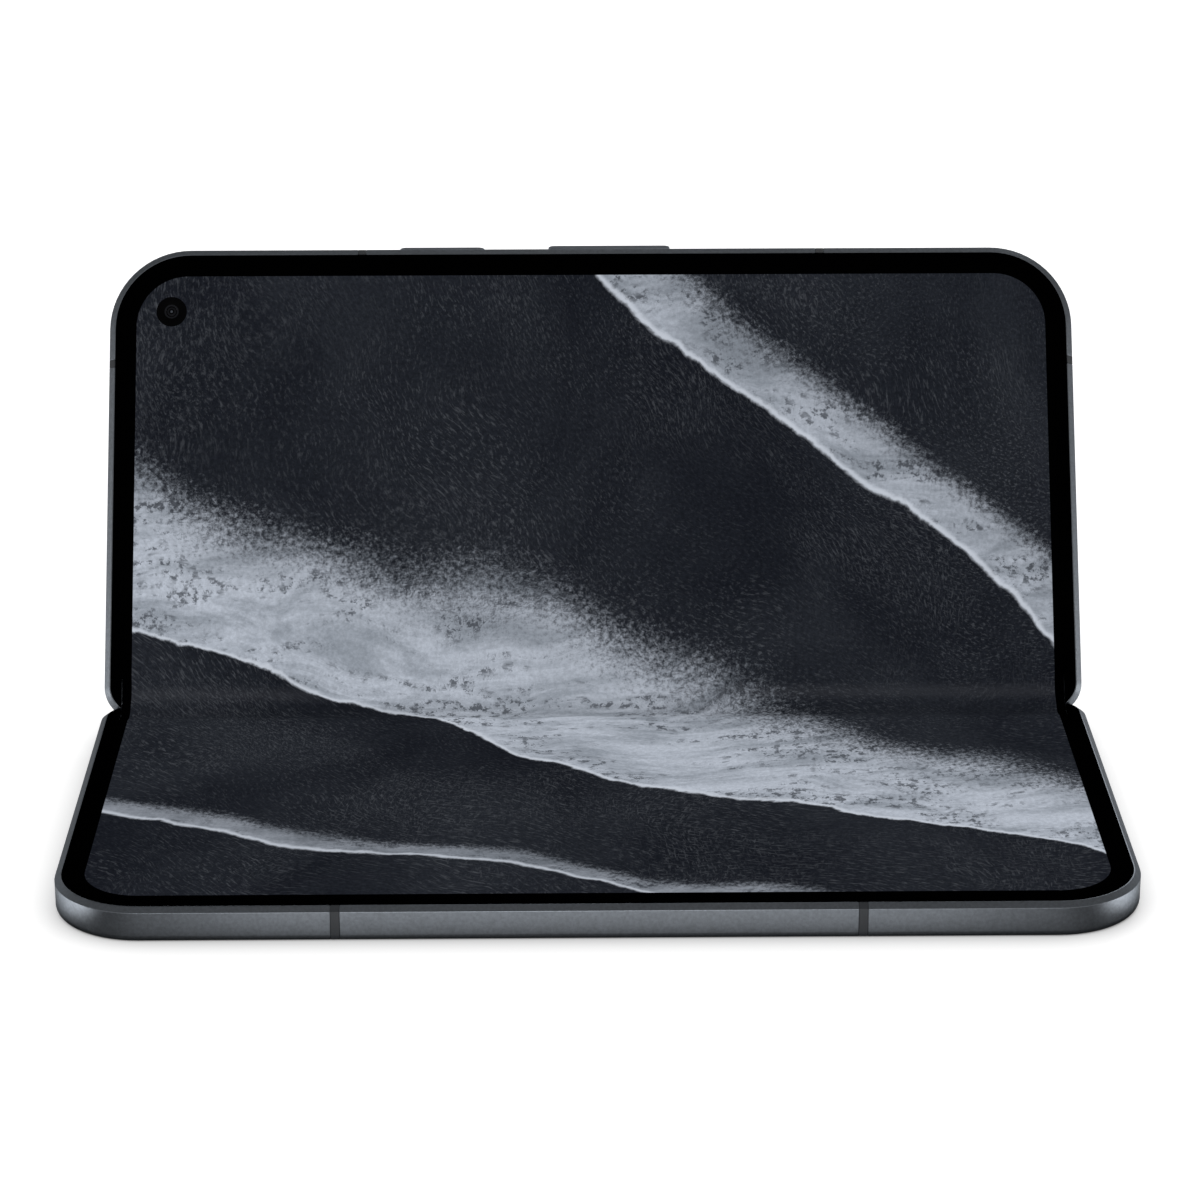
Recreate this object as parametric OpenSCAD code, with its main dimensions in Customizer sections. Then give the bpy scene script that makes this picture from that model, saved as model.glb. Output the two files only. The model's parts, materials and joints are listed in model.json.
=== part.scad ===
// Foldable smartphone, half open like a small laptop.
//
// Row frame: the origin is the centre of the lower half's outer face, which lies
// on the table. +X runs along the hinge, +Y from the lower half's free edge to
// the hinge, +Z up. The upper half leans back behind the hinge.
//
// Half frame: every piece of a half is drawn in a frame of its own. There x runs
// along the hinge, y is the distance from the fold line when the phone is flat,
// and z is the height above the half's outer face. in_lower() and in_upper() place
// it. Spine frame: pieces of the hinge are drawn as they lie when the phone is
// flat, and in_spine() places them.

/* [Body] */
// Length of the body along the hinge
body_h = 155.2; // [150:0.1:162]
// Width of one half, from the fold line to its free edge
half_w = 75.2; // [74:0.1:80]
// Thickness of one half
body_t = 5.1; // [5:0.05:5.6]
// Radius of the two corners at a half's free edge
corner_r = 13; // [11:0.5:15]
// Radius of the two corners at a half's hinge edge
hinge_corner_r = 5; // [4.5:0.1:6]
// Distance from the fold line at which the hinge corners start
hinge_corner_y = 3.9; // [3.7:0.1:4.2]
// Angle between the two screens, 180 when flat
open_angle = 120; // [100:1:170]
// Thickness of a frame's side wall
wall_t = 1.9; // [1.8:0.05:2.1]
// Height of the rounding at a frame's outer face
foot_round_h = 1; // [0.8:0.05:1.1]
// Depth of the rounding at a frame's outer face
foot_round_d = 0.75; // [0.5:0.05:0.8]
// Width of the metal rim round the screen
rim_w = 0.95; // [0.9:0.05:1.2]
// Height of the slope that takes up the rim
rim_slope_h = 0.65; // [0.4:0.05:0.8]
// Thickness of a frame's middle plate
mid_t = 0.45; // [0.35:0.05:0.55]
// Width of an antenna band
band_w = 1.3; // [0.8:0.1:2]
// Distance of the long edges' antenna bands from the middle
band_x = 37; // [33:0.5:42]
// Distance of the short edges' antenna bands from the free edge
band_edge = 18.8; // [17:0.1:24]

/* [Outer glass] */
// Thickness of the glass on a half's outer face
glass_t = 0.55; // [0.45:0.05:0.6]
// Width of the frame that shows round the outer glass
glass_edge = 0.9; // [0.85:0.05:1]
// Distance from the fold line at which the outer glass starts
glass_y = 3.45; // [3.2:0.05:3.8]

/* [Screen] */
// Distance of the lit screen from the short edges
screen_edge_x = 4.35; // [4.1:0.05:7]
// Distance of the lit screen from the free edges
screen_edge_y = 4.5; // [4.2:0.05:7]
// Radius of the lit screen's corners
screen_r = 8.3; // [6:0.1:10]
// Width of the black border that belongs to the screen panel
panel_border = 1.35; // [1:0.05:1.5]
// Thickness of the folding screen
panel_t = 0.5; // [0.4:0.05:0.55]
// Thickness of the plate that backs the screen
backing_t = 0.15; // [0.1:0.05:0.2]
// Height of the black lip above the screen
lip_rise = 0.05; // [0.02:0.01:0.08]
// Length of the bending stretch on each side of the fold line
bend_l = 6; // [5.6:0.1:6.2]
// Radius of the round black window over the inner camera
camera_hole_r = 2.45; // [2:0.05:2.7]
// Distance of the inner camera from the screen's short edge
camera_in_x = 5.6; // [5.3:0.1:8]
// Distance of the inner camera from the screen's long edge
camera_in_y = 5.8; // [5.4:0.1:8]

/* [Hinge] */
// Distance of each half's turning axis from the fold line
axis_y = 1.35; // [1.3:0.01:1.4]
// Gap between the two screens when the phone is shut
shut_gap = 0.3; // [0.2:0.01:0.32]
// Outer radius of the hinge cover round each turning axis
spine_r = 3.03; // [2.95:0.01:3.05]
// Thickness of the hinge cover
spine_wall = 0.5; // [0.4:0.05:0.5]
// Clearance between the hinge cover and the frames
spine_clear = 0.12; // [0.08:0.01:0.15]
// Height of the hinge cover's upper edge above the outer face
spine_top = 3.6; // [3.4:0.05:3.6]
// Distance of each frame's hinge edge from the fold line
fold_gap = 0.1; // [0.05:0.01:0.15]
// Thickness of the frame's cheek that holds the hinge pin
cheek_t = 2.8; // [2.6:0.05:2.95]
// Thickness of the hinge cover's end caps
cap_t = 1.2; // [0.8:0.1:1.6]
// Radius of the hinge pins
pin_r = 0.4; // [0.3:0.01:0.42]
// Running clearance round pins and shafts
run_clear = 0.03; // [0.02:0.01:0.05]
// Side clearance of pieces that turn past each other
side_clear = 0.15; // [0.1:0.01:0.2]

/* [Arc arms] */
// Distance of the arc carriers from the middle
carrier_x = 48; // [30:1:60]
// Width of one arc arm
arm_w = 2.6; // [2:0.1:3]
// Inner radius of the arc tongue
tongue_r1 = 1.3; // [1.25:0.01:1.35]
// Outer radius of the arc tongue
tongue_r2 = 1.9; // [1.85:0.01:1.95]
// Clearance of the arc tongue in its groove
tongue_clear = 0.05; // [0.03:0.01:0.06]
// Height of an arm's leg above the outer face
leg_z = 2.2; // [2.15:0.01:2.22]
// Thickness of an arm's leg
leg_t = 0.62; // [0.5:0.01:0.65]
// Radius of the screws that hold the arms
screw_r = 0.5; // [0.4:0.05:0.6]

/* [Timing gears] */
// Teeth on each timing gear
gear_teeth = 12; // [12:2:12]
// Pitch radius of the timing gears
gear_r = 0.8; // [0.76:0.01:0.8]
// Height of the gear shafts above the outer face
gear_z = 2.8; // [2.78:0.01:2.82]
// Radius of the gear shafts
shaft_r = 0.25; // [0.2:0.01:0.28]
// Width of the timing gears
gear_w = 4; // [3:0.1:5]

/* [Flaps under the fold] */
// Distance of the flap's pivot from the fold line
flap_pivot_y = 8.1; // [8:0.05:8.2]
// Distance of the flap's inner edge from the fold line
flap_edge_y = 2; // [1.95:0.01:2.2]
// Thickness of the flap
flap_t = 0.3; // [0.25:0.01:0.3]
// Radius of the flap's pivot pins
flap_pin_r = 0.25; // [0.2:0.01:0.28]
// Degrees that the flap tilts for each degree that its half turns
flap_ratio = 0.2; // [0.19:0.005:0.21]

/* [Keys] */
// Length of the power key
power_l = 13.7; // [11:0.1:16]
// Place of the power key along the edge
power_x = -24.1; // [-26:0.1:-22]
// Height of the power key above the frame
power_rise = 0.55; // [0.3:0.05:0.7]
// Length of the volume key
volume_l = 19.7; // [16:0.1:22]
// Place of the volume key along the edge
volume_x = 2.95; // [1:0.05:6]
// Height of the volume key above the frame
volume_rise = 0.75; // [0.4:0.05:0.8]
// Width of the keys across the edge
key_w = 2.1; // [1.8:0.1:2.3]
// Clearance of the keys in their slots
key_clear = 0.1; // [0.08:0.01:0.15]
// Travel of the power key
key_travel = 0.25; // [0.2:0.01:0.3]

/* [Ports] */
// Length of the charging port's mouth
port_l = 8.34; // [8.34:0.01:8.34]
// Width of the charging port's mouth
port_w = 2.56; // [2.56:0.01:2.56]
// Depth of the charging port
port_depth = 7.3; // [6.5:0.1:8]
// Length of the card tray's head
tray_l = 11.6; // [11.4:0.1:12.5]
// Width of the card tray's head
tray_w = 1.9; // [1.8:0.05:2]
// Length of the card tray behind its head
tray_depth = 15; // [14:0.5:17]
// Distance of the card tray from the fold line
tray_y = 22; // [19:0.5:26]

/* [Camera island] */
// Length of the island across the half
island_l = 46; // [44:0.5:50]
// Width of the island along the hinge
island_w = 28; // [24:0.5:30]
// Radius of the island's corners
island_r = 9; // [6:0.5:11]
// Height of the island above the outer glass
island_h = 2.4; // [1.8:0.1:3]
// Distance of the island's middle from the short edge
island_in_x = 21.1; // [19:0.1:24]
// Distance of the island's middle from the fold line
island_y = 44; // [42:0.5:46]
// Spacing of the three lenses
lens_pitch = 13.6; // [13.4:0.1:14.5]
// Radius of a lens window
lens_r = 5.2; // [4.5:0.1:5.4]

/* [Inside] */
// Thickness of a circuit board
board_t = 0.6; // [0.5:0.05:0.8]
// Length of the lower half's circuit board
lower_board_l = 48.5; // [46:0.5:60]
// Width of the lower half's circuit board
lower_board_w = 38; // [34:1:40]
// Length of the upper half's main circuit board
main_board_l = 27; // [24:0.5:32]
// Length of the upper half's port board
port_board_l = 22.2; // [20:0.1:30]
// Outer radius of the charging coil
coil_r = 22; // [18:0.5:24]
// Radius of the opening in the charging coil
coil_bore_r = 10; // [8:0.5:12]
// Clearance between pieces inside a half
gap = 0.1; // [0.05:0.01:0.1]

/* [Hidden] */
$fn = 64;

// Colours of the pieces
metal = [0.24, 0.25, 0.27];
black = [0.02, 0.02, 0.025];
dark_glass = [0.05, 0.055, 0.06];
steel = [0.6, 0.61, 0.63];
copper = [0.72, 0.42, 0.25];
green = [0.05, 0.2, 0.13];
grey = [0.3, 0.31, 0.33];
gold = [0.75, 0.62, 0.3];

// A cut runs this far past the face that it opens
over = 1;
// Each half has turned this far from flat
half_fold = (180 - open_angle) / 2;
flap_tilt = flap_ratio * half_fold;
// The fold line's place in the row frame
fold_y = half_w / 2;
// The height of the turning axes lets the screens shut with their gap
axis_z = body_t + shut_gap / 2 - axis_y;

// Heights of the layers in a half, from the screen down and the glass up
panel_z = body_t - panel_t;
backing_z = panel_z - backing_t;
tape = 0.05;
mid_top = backing_z - tape;
mid_z = mid_top - mid_t;
lip_top = body_t + lip_rise;
ledge_z = glass_t + tape;
cover_panel_t = 0.6;
bay_z = ledge_z + cover_panel_t + gap;
bay_top = mid_z - gap;
side_mid_z = (foot_round_h + body_t - rim_slope_h) / 2;

// Plan sizes shared by several pieces
side_x = body_h / 2;
screen_h = body_h - 2 * screen_edge_x;
screen_w = half_w - screen_edge_y;
wall_x = side_x - wall_t;
wall_y = half_w - wall_t;
cheek_x = side_x - cheek_t;
panel_x = screen_h / 2 + panel_border;
panel_y = screen_w + panel_border;
panel_r = screen_r + panel_border;
seat_clear = 0.05;
band_t = wall_t - 2 * seat_clear;

// Hinge sizes
recess_r = spine_r + spine_clear;
flange_t = axis_z - recess_r;
spine_x = cheek_x - side_clear;
spine_floor = axis_z - spine_r;
channel_r = spine_r - spine_wall;
channel_floor = axis_z - channel_r;
hub_r = axis_y - seat_clear;
cap_hub_r = mid_top - axis_z;
cheek_y = axis_y + recess_r + 0.7;
pin_l = 1.4;
slot_z = leg_z - gap;
rib_y = flap_pivot_y + 0.6;
rib_t = 0.8;
bay_y = rib_y + rib_t + gap;
edge_room = 1.9;
bay_y1 = wall_y - edge_room;
shelf_z = leg_z - gap;
carrier_top = spine_top - 0.2;
carrier_w = 2 * arm_w + 6 * side_clear + 1.2;
leg_x = arm_w / 2 + side_clear;
leg_edge_y = axis_y + 0.95;
foot_y = axis_y + recess_r + 0.3;
foot_l = 3.6;
screw_y = foot_y + foot_l - 1.2;

// Timing gear sizes
addendum = 0.12;
dedendum = 0.16;
gear_tip = gear_r + addendum;
gear_root = gear_r - dedendum;
timing_hub_r = gear_root - 0.08;
gear_y = [-3 * gear_r, -gear_r, gear_r, 3 * gear_r];
timing_x = gear_w / 2 + gap + arm_w + side_clear;
timing_wall = 1;
spring_l = timing_x - gear_w / 2 - 2 * gap;
timing_leg_top = gear_z;
timing_leg_t = 0.5;
timing_leg_y = 8;
timing_pocket_z = 1.7;

// Flap sizes
flap_top = mid_top - 0.07;
flap_pin_z = flap_top - flap_t - flap_pin_r / 2;
flap_x = spine_x - cap_t - 0.4;
flap_notch_y = 4.8;
flap_notch_w = arm_w + 0.8;

// Key and port places
key_z = side_mid_z;
key_flange = 0.6;
key_flange_t = 0.35;
strip_in = wall_t + 1.35;
strip_t = 0.2;
power_flange_in = wall_t + seat_clear;
volume_flange_in = wall_t + 0.25;
rock_travel = 0.18;
rock_at = 0.36;
port_y = half_w / 2;
port_z = 2.45;
port_shell = 0.15;
card_z = side_mid_z;
card_t = 0.7;
card_w = tray_l - 2;

// Camera places
inner_camera_x = -(screen_h / 2 - camera_in_x);
inner_camera_y = screen_w - camera_in_y;
island_x = -(side_x - island_in_x);
island_wall = 1.5;
island_floor = 0.6;
cover_camera_in_x = 8.3;
cover_camera_x = cover_camera_in_x - side_x;
cover_camera_y = half_w / 2;
cover_camera_l = 6;
cover_camera_r = 2.2;
cover_camera_way = 0.7;
barrel_rise = 0.4;
receiver_l = 14;

// Room between boards, cells and walls
cell_gap = 1;
board_gap = 2.5;
port_board_x = wall_x - board_gap - port_board_l;

// ---- Placing ----

module about(y, turn)
    translate([0, y, axis_z]) rotate([turn, 0, 0]) translate([0, -y, -axis_z])
        children();

module in_lower() translate([0, fold_y, 0]) mirror([0, 1, 0]) children();

module in_spine()
    translate([0, fold_y, 0]) about(-axis_y, half_fold) children();

module in_upper() in_spine() about(axis_y, half_fold) children();

// A drawing in y and z, made long along x
module along_x(length)
    rotate([90, 0, 90]) linear_extrude(length, center = true) children();

// A drawing in x and y, raised between two heights
module between(z0, z1)
    translate([0, 0, z0]) linear_extrude(z1 - z0) children();

module both_sides() {
    children();
    mirror([1, 0, 0]) children();
}

module both_axes() {
    children();
    mirror([0, 1, 0]) children();
}

// ---- Plan shapes of a half ----

// A rectangle whose two free-edge corners are round
module free_plan(x, y0, y1, r) {
    translate([-x, y0]) square([2 * x, y1 - r - y0]);
    translate([r - x, y0]) square([2 * (x - r), y1 - y0]);
    for (side = [-1, 1]) translate([side * (x - r), y1 - r]) circle(r);
}

// The outline of a half, drawn in by d on its three free sides
module half_plan(d, y0 = fold_gap) {
    free_plan(side_x - d, hinge_corner_y, half_w - d, corner_r - d);
    intersection() {
        union() {
            x = side_x - hinge_corner_r;
            translate([-x, y0]) square([2 * x, hinge_corner_y - y0]);
            for (side = [-1, 1])
                translate([side * x, hinge_corner_y]) circle(hinge_corner_r - d);
        }
        translate([-side_x, y0]) square([2 * side_x, half_w / 2]);
    }
}

// A slot with round ends, in x and y
module slot_plan(l, w) {
    square([l - w, w], center = true);
    for (side = [-1, 1]) translate([side * (l - w) / 2, 0]) circle(w / 2);
}

module round_plan(l, w, r) {
    square([l - 2 * r, w], center = true);
    square([l, w - 2 * r], center = true);
    for (i = [-1, 1], j = [-1, 1])
        translate([i * (l / 2 - r), j * (w / 2 - r)]) circle(r);
}

module box_at(x0, x1, y0, y1, z0, z1)
    translate([x0, y0, z0]) cube([x1 - x0, y1 - y0, z1 - z0]);

// ---- Frames ----

// Section of a side wall: x is the depth from the outer side, y the height
module wall_section(inner = wall_t) {
    steps = 5;
    foot = [for (i = [0:steps]) let (a = 90 * i / steps)
        [foot_round_d * (1 - cos(a)), foot_round_h * (1 - sin(a))]];
    polygon(concat(foot, [
        [glass_edge - seat_clear, 0],
        [glass_edge - seat_clear, ledge_z],
        [inner, ledge_z],
        [inner, mid_top],
        [rim_w, mid_top],
        [rim_w, body_t],
        [rim_w - seat_clear, body_t],
        [0, body_t - rim_slope_h]
    ]));
}

// A stretch of the free edge's wall, from x0 to x1
module long_wall(x0, x1, inner = wall_t)
    translate([x0, half_w, 0]) rotate([90, 0, 90]) linear_extrude(x1 - x0)
        mirror([1, 0]) wall_section(inner);

// A stretch of a short edge's wall, from y0 to y1
module short_wall(y0, y1, inner = wall_t)
    translate([side_x, y1, 0]) rotate([90, 0, 0]) linear_extrude(y1 - y0)
        mirror([1, 0]) wall_section(inner);

module corner_wall(r)
    rotate_extrude(angle = 90) translate([r, 0]) mirror([1, 0]) wall_section();

// What the other half and the hinge need free at the end of the rim
module rim_end_cut()
    along_x(2 * side_x + over) difference() {
        translate([-over, axis_z]) square([axis_y + over, body_t]);
        translate([axis_y, axis_z]) circle(hub_r);
    }

module hinge_corner()
    intersection() {
        translate([side_x - hinge_corner_r, hinge_corner_y, 0])
            rotate([0, 0, -90]) corner_wall(hinge_corner_r);
        box_at(cheek_x, side_x + over, fold_gap, half_w, -over, body_t + over);
    }

module wall_ring(bands_y) {
    long_x = side_x - corner_r;
    stops = [-long_x, -band_x - band_w / 2, -band_x + band_w / 2,
        band_x - band_w / 2, band_x + band_w / 2, long_x];
    for (i = [0, 2, 4]) long_wall(stops[i], stops[i + 1]);
    both_sides() {
        if (bands_y > 0) {
            short_wall(hinge_corner_y, bands_y - band_w / 2);
            short_wall(bands_y + band_w / 2, half_w - corner_r);
        } else
            short_wall(hinge_corner_y, half_w - corner_r);
        translate([side_x - corner_r, half_w - corner_r, 0]) corner_wall(corner_r);
        hinge_corner();
    }
}

// The solid cheek beside the hinge
module cheek()
    intersection() {
        between(0, mid_top) half_plan(wall_t - seat_clear);
        union() {
            box_at(cheek_x, side_x, fold_gap, glass_y - seat_clear, 0, mid_top);
            box_at(cheek_x, side_x, glass_y - 2 * seat_clear, cheek_y, ledge_z, mid_top);
        }
    }

// The bores in the cheeks that hold the hinge pins
module pin_bores()
    both_sides() translate([cheek_x - over, axis_y, axis_z]) rotate([0, 90, 0])
        cylinder(r = pin_r + run_clear, h = pin_l + gap + over);

// The flange under the hinge cover and the shelf that carries the arms
module hinge_shelf()
    difference() {
        along_x(2 * cheek_x + 2 * seat_clear) difference() {
            polygon([
                [fold_gap, 0], [glass_y - seat_clear, 0],
                [glass_y - seat_clear, ledge_z], [rib_y + rib_t, ledge_z],
                [rib_y + rib_t, shelf_z], [fold_gap, shelf_z]
            ]);
            translate([axis_y, axis_z]) circle(recess_r);
            translate([-over, flange_t]) square([axis_y + over, shelf_z]);
        }
        // the timing arm dips into this pocket
        box_at(-timing_x - gap, timing_x + gap, axis_y, rib_y,
            timing_pocket_z, shelf_z + over);
        arm_positions() translate([0, screw_y, shelf_z - screw_hole_l])
            cylinder(r = screw_r, h = screw_hole_l + over);
    }
screw_hole_l = 1.1;

// The shelf runs on to the side walls past the cheeks
module shelf_ends()
    both_sides()
        box_at(cheek_x, wall_x + seat_clear, cheek_y - seat_clear,
            rib_y + rib_t, ledge_z, shelf_z);

module middle_plate()
    difference() {
        between(mid_z, mid_top)
            free_plan(wall_x + seat_clear, rib_y, wall_y + seat_clear,
                corner_r - wall_t + seat_clear);
        children();
    }

// The rib closes the bay towards the hinge
module bay_rib()
    box_at(-wall_x - seat_clear, wall_x + seat_clear, rib_y, rib_y + rib_t,
        shelf_z - seat_clear, mid_top);

// Windows in the rib that let the flat cables by
module rib_windows()
    for (x = flex_places) translate([x, rib_y, flex_z + flex_t / 2])
        cube([flex_w + 4 * gap, 3 * rib_t, 6 * flex_t], center = true);

// The bores that carry the flap's pins, and the plain way to them
module flap_bores()
    both_sides() translate([wall_x - over, flap_pivot_y, flap_pin_z])
        rotate([0, 90, 0])
            cylinder(r = flap_pin_r + run_clear, h = 0.8 + gap + over);

module frame_body(bands_y)
    difference() {
        union() {
            wall_ring(bands_y);
            both_sides() cheek();
            hinge_shelf();
            shelf_ends();
            bay_rib();
            middle_plate() children();
        }
        rim_end_cut();
        pin_bores();
        flap_bores();
    }

module lower_frame()
    color(metal) in_lower() difference() {
        mirror([1, 0, 0]) frame_body(0);
        rib_windows();
        tray_slot();
    }

module upper_frame()
    color(metal) in_upper() difference() {
        frame_body(half_w - band_edge) inner_camera_way(camera_hole_r);
        rib_windows();
        key_slot(power_x, power_l);
        key_slot(volume_x, volume_l);
        port_slot();
        speaker_slots();
    }

module long_bands()
    for (side = [-1, 1])
        long_wall(side * band_x - band_w / 2, side * band_x + band_w / 2, band_t);

module lower_antenna_bands() color(grey) in_lower() long_bands();

module upper_antenna_bands()
    color(grey) in_upper() {
        long_bands();
        both_sides() short_wall(half_w - band_edge - band_w / 2,
            half_w - band_edge + band_w / 2, band_t);
    }

module tray_slot()
    translate([wall_x - over, tray_y, card_z]) rotate([90, 0, 90])
        linear_extrude(wall_t + 2 * over)
            slot_plan(tray_l + 2 * key_clear, tray_w + 2 * key_clear);

module key_slot(x, l)
    translate([x, wall_y - over, key_z]) rotate([-90, 0, 0])
        linear_extrude(wall_t + 2 * over)
            slot_plan(l + 2 * key_clear, key_w + 2 * key_clear);

module port_slot()
    translate([wall_x - over, port_y, port_z]) rotate([90, 0, 90])
        linear_extrude(wall_t + 2 * over)
            slot_plan(port_l + 2 * port_shell + gap, port_w + 2 * port_shell + gap);

speaker_y = port_y + port_l / 2 + 3.5;
speaker_hole_r = 0.6;
speaker_step = 1.9;
module speaker_slots() {
    for (i = [0:4]) translate([wall_x - over, speaker_y + speaker_step * i, side_mid_z])
        rotate([0, 90, 0]) cylinder(r = speaker_hole_r, h = wall_t + 2 * over);
    for (i = [-1.5:1.5]) translate([-side_x - over, port_y + speaker_step * i, side_mid_z])
        rotate([0, 90, 0]) cylinder(r = speaker_hole_r, h = wall_t + 2 * over);
}

// ---- Outer glass, screen panels and bezels ----

module outer_glass_plan()
    free_plan(side_x - glass_edge, glass_y, half_w - glass_edge, corner_r - glass_edge);

module cover_glass() color(dark_glass) in_lower() between(0, glass_t) outer_glass_plan();

cover_margin = 1.6;
module cover_display()
    color(black) in_lower() difference() {
        between(ledge_z, ledge_z + cover_panel_t)
            free_plan(wall_x - cover_margin, bay_y, wall_y - cover_margin,
                corner_r - wall_t - cover_margin);
        translate([cover_camera_x, cover_camera_y, 0])
            cylinder(r = cover_camera_r + cover_camera_way, h = body_t);
    }

module cover_camera()
    color(black) in_lower() translate([cover_camera_x, cover_camera_y, 0]) {
        translate([0, 0, ledge_z])
            cylinder(r = cover_camera_r, h = bay_z - ledge_z + barrel_rise);
        translate([-cover_camera_l / 2, -cover_camera_l / 2, bay_z + barrel_rise])
            cube([cover_camera_l, cover_camera_l, bay_top - bay_z - barrel_rise]);
    }

module island_way(d)
    translate([island_x, island_y]) round_plan(island_w - 2 * d, island_l - 2 * d,
        island_r - d);

module back_glass()
    color(dark_glass) in_upper() difference() {
        between(0, glass_t) outer_glass_plan();
        between(-over, body_t) island_way(island_wall);
    }

// The rigid black lip round a half's screen
module bezel()
    difference() {
        between(mid_top, lip_top) difference() {
            half_plan(rim_w + seat_clear);
            free_plan(panel_x + seat_clear, -over, panel_y + seat_clear,
                panel_r + seat_clear);
            translate([-cheek_x - seat_clear, -over])
                square([2 * (cheek_x + seat_clear), cheek_y + over]);
        }
        rim_end_cut();
    }

module lower_bezel() color(black) in_lower() bezel();
module upper_bezel() color(black) in_upper() bezel();

module half_panel()
    between(panel_z, body_t) free_plan(panel_x, bend_l, panel_y, panel_r);

module half_backing()
    between(backing_z, panel_z)
        free_plan(panel_x - gap, bend_l, panel_y - gap, panel_r - gap);

module inner_camera_way(r)
    translate([inner_camera_x, inner_camera_y, 0]) cylinder(r = r, h = body_t + over);

module lower_display() color(dark_glass) in_lower() half_panel();
module lower_backing_plate() color(steel) in_lower() half_backing();

module upper_display()
    color(dark_glass) in_upper() difference() {
        half_panel();
        inner_camera_way(camera_hole_r + seat_clear);
    }

module upper_backing_plate()
    color(steel) in_upper() difference() {
        half_backing();
        inner_camera_way(camera_hole_r + seat_clear);
    }

// The bending stretch. A point takes a growing share of its half's turn as it
// lies further from the fold line, so the ends run on flat into the two halves.
function ease(u) = u * u * (3 - 2 * u);
function bent(y, z) =
    let (turn = half_fold * ease(min(1, abs(y) / bend_l)),
        dy = abs(y) - axis_y,
        dz = z - axis_z)
    [sign(y) * (axis_y + dy * cos(turn) - dz * sin(turn)),
        axis_z + dy * sin(turn) + dz * cos(turn)];

bend_steps = 28;
module display_fold()
    color(dark_glass) in_spine() along_x(2 * panel_x) {
        ys = [for (i = [0:bend_steps]) bend_l * (2 * i / bend_steps - 1)];
        mids = [for (y = ys) abs(y) < 0.001 ? 0.001 : y];
        polygon(concat(
            [for (y = mids) bent(y, body_t)],
            [for (i = [bend_steps:-1:0]) bent(mids[i], backing_z)]));
    }

// ---- Hinge, in the spine frame ----

// The section of the hinge cover's solid, up to the height top
module spine_plan(r, top)
    intersection() {
        union() {
            for (side = [-1, 1]) translate([side * axis_y, axis_z]) circle(r);
            translate([-axis_y, axis_z - r]) square([2 * axis_y, 2 * r]);
        }
        translate([-half_w, 0]) square([2 * half_w, top]);
    }

module arm_positions()
    for (side = [-1, 1]) translate([side * carrier_x + leg_x, 0, 0]) children();

// Openings in the cover's side through which the arms reach a half
module arm_windows() {
    arm_positions() translate([-arm_w / 2 - side_clear, axis_y, slot_z])
        cube([arm_w + 2 * side_clear, half_w, body_t]);
    translate([timing_leg_x - arm_w / 2 - side_clear, axis_y, slot_z])
        cube([arm_w + 2 * side_clear, half_w, body_t]);
}

module flex_windows()
    for (x = flex_places) translate([x, 0, slot_z + half_w / 2])
        cube([flex_w + 2 * gap, half_w, half_w], center = true);

module spine_cover()
    color(steel) in_spine() difference() {
        along_x(2 * (spine_x - cap_t)) difference() {
            spine_plan(spine_r, spine_top);
            spine_plan(channel_r, body_t);
        }
        arm_windows();
        rotate([0, 0, 180]) arm_windows();
        flex_windows();
    }

module spine_end_caps()
    color(steel) in_spine() both_sides() {
        translate([spine_x - cap_t / 2, 0, 0]) along_x(cap_t) {
            spine_plan(spine_r, spine_top);
            for (side = [-1, 1])
                translate([side * axis_y, axis_z]) circle(cap_hub_r);
            translate([-axis_y, spine_floor])
                square([2 * axis_y, mid_top - spine_floor]);
        }
        both_axes() translate([spine_x - seat_clear, axis_y, axis_z])
            rotate([0, 90, 0])
                cylinder(r = pin_r, h = pin_l + side_clear + seat_clear);
    }

// Blocks in the cover with an arc-shaped groove for each half's tongue
module arc_groove()
    difference() {
        circle(tongue_r2 + tongue_clear);
        circle(tongue_r1 - tongue_clear);
    }

module arc_carriers()
    color(grey) in_spine() for (side = [-1, 1]) translate([side * carrier_x, 0, 0])
        difference() {
            along_x(carrier_w) spine_plan(channel_r - tongue_clear, carrier_top);
            for (turn = [0, 180]) rotate([0, 0, turn]) translate([leg_x, 0, 0]) {
                translate([0, axis_y, axis_z]) along_x(arm_w + 2 * side_clear)
                    arc_groove();
                translate([-arm_w / 2 - side_clear, leg_edge_y - 0.3, slot_z])
                    cube([arm_w + 2 * side_clear, half_w, body_t]);
            }
            translate([0, 0, carrier_top]) cube([2 * gap, half_w, gap], center = true);
        }

// Shafts, gears and springs that make the two halves turn alike
timing_leg_x = gear_w / 2 + gap + arm_w / 2;

module timing_carrier()
    color(grey) in_spine() {
        for (side = [-1, 1])
            translate([side * (timing_x + timing_wall / 2), 0, 0])
                difference() {
                    along_x(timing_wall)
                        spine_plan(channel_r - tongue_clear, carrier_top);
                    for (y = gear_y) translate([0, y, gear_z]) rotate([0, 90, 0])
                        cylinder(r = shaft_r + 0.01, h = 3 * timing_wall,
                            center = true);
                }
        box_at(-timing_x - seat_clear, timing_x + seat_clear, -axis_y, axis_y,
            channel_floor + tongue_clear, gear_z - gear_tip - gap);
    }

module gear_shafts()
    color(steel) in_spine() for (y = gear_y) translate([0, y, gear_z])
        rotate([0, 90, 0])
            cylinder(r = shaft_r, h = 2 * (timing_x + timing_wall), center = true);

// A stack of dished washers, drawn as one ribbed sleeve
spring_r = 0.6;
module spring_pack() {
    folds = 9;
    step = spring_l / (2 * folds);
    bore = shaft_r + run_clear;
    rotate([0, 90, 0]) rotate_extrude() polygon(concat(
        [[bore, 0]],
        [for (i = [0:2 * folds]) [i % 2 == 0 ? spring_r - 0.12 : spring_r, i * step]],
        [[bore, spring_l]]));
}

module friction_springs()
    color(steel) in_spine() both_sides() both_axes()
        translate([gear_w / 2 + gap, gear_r, gear_z]) spring_pack();

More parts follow.
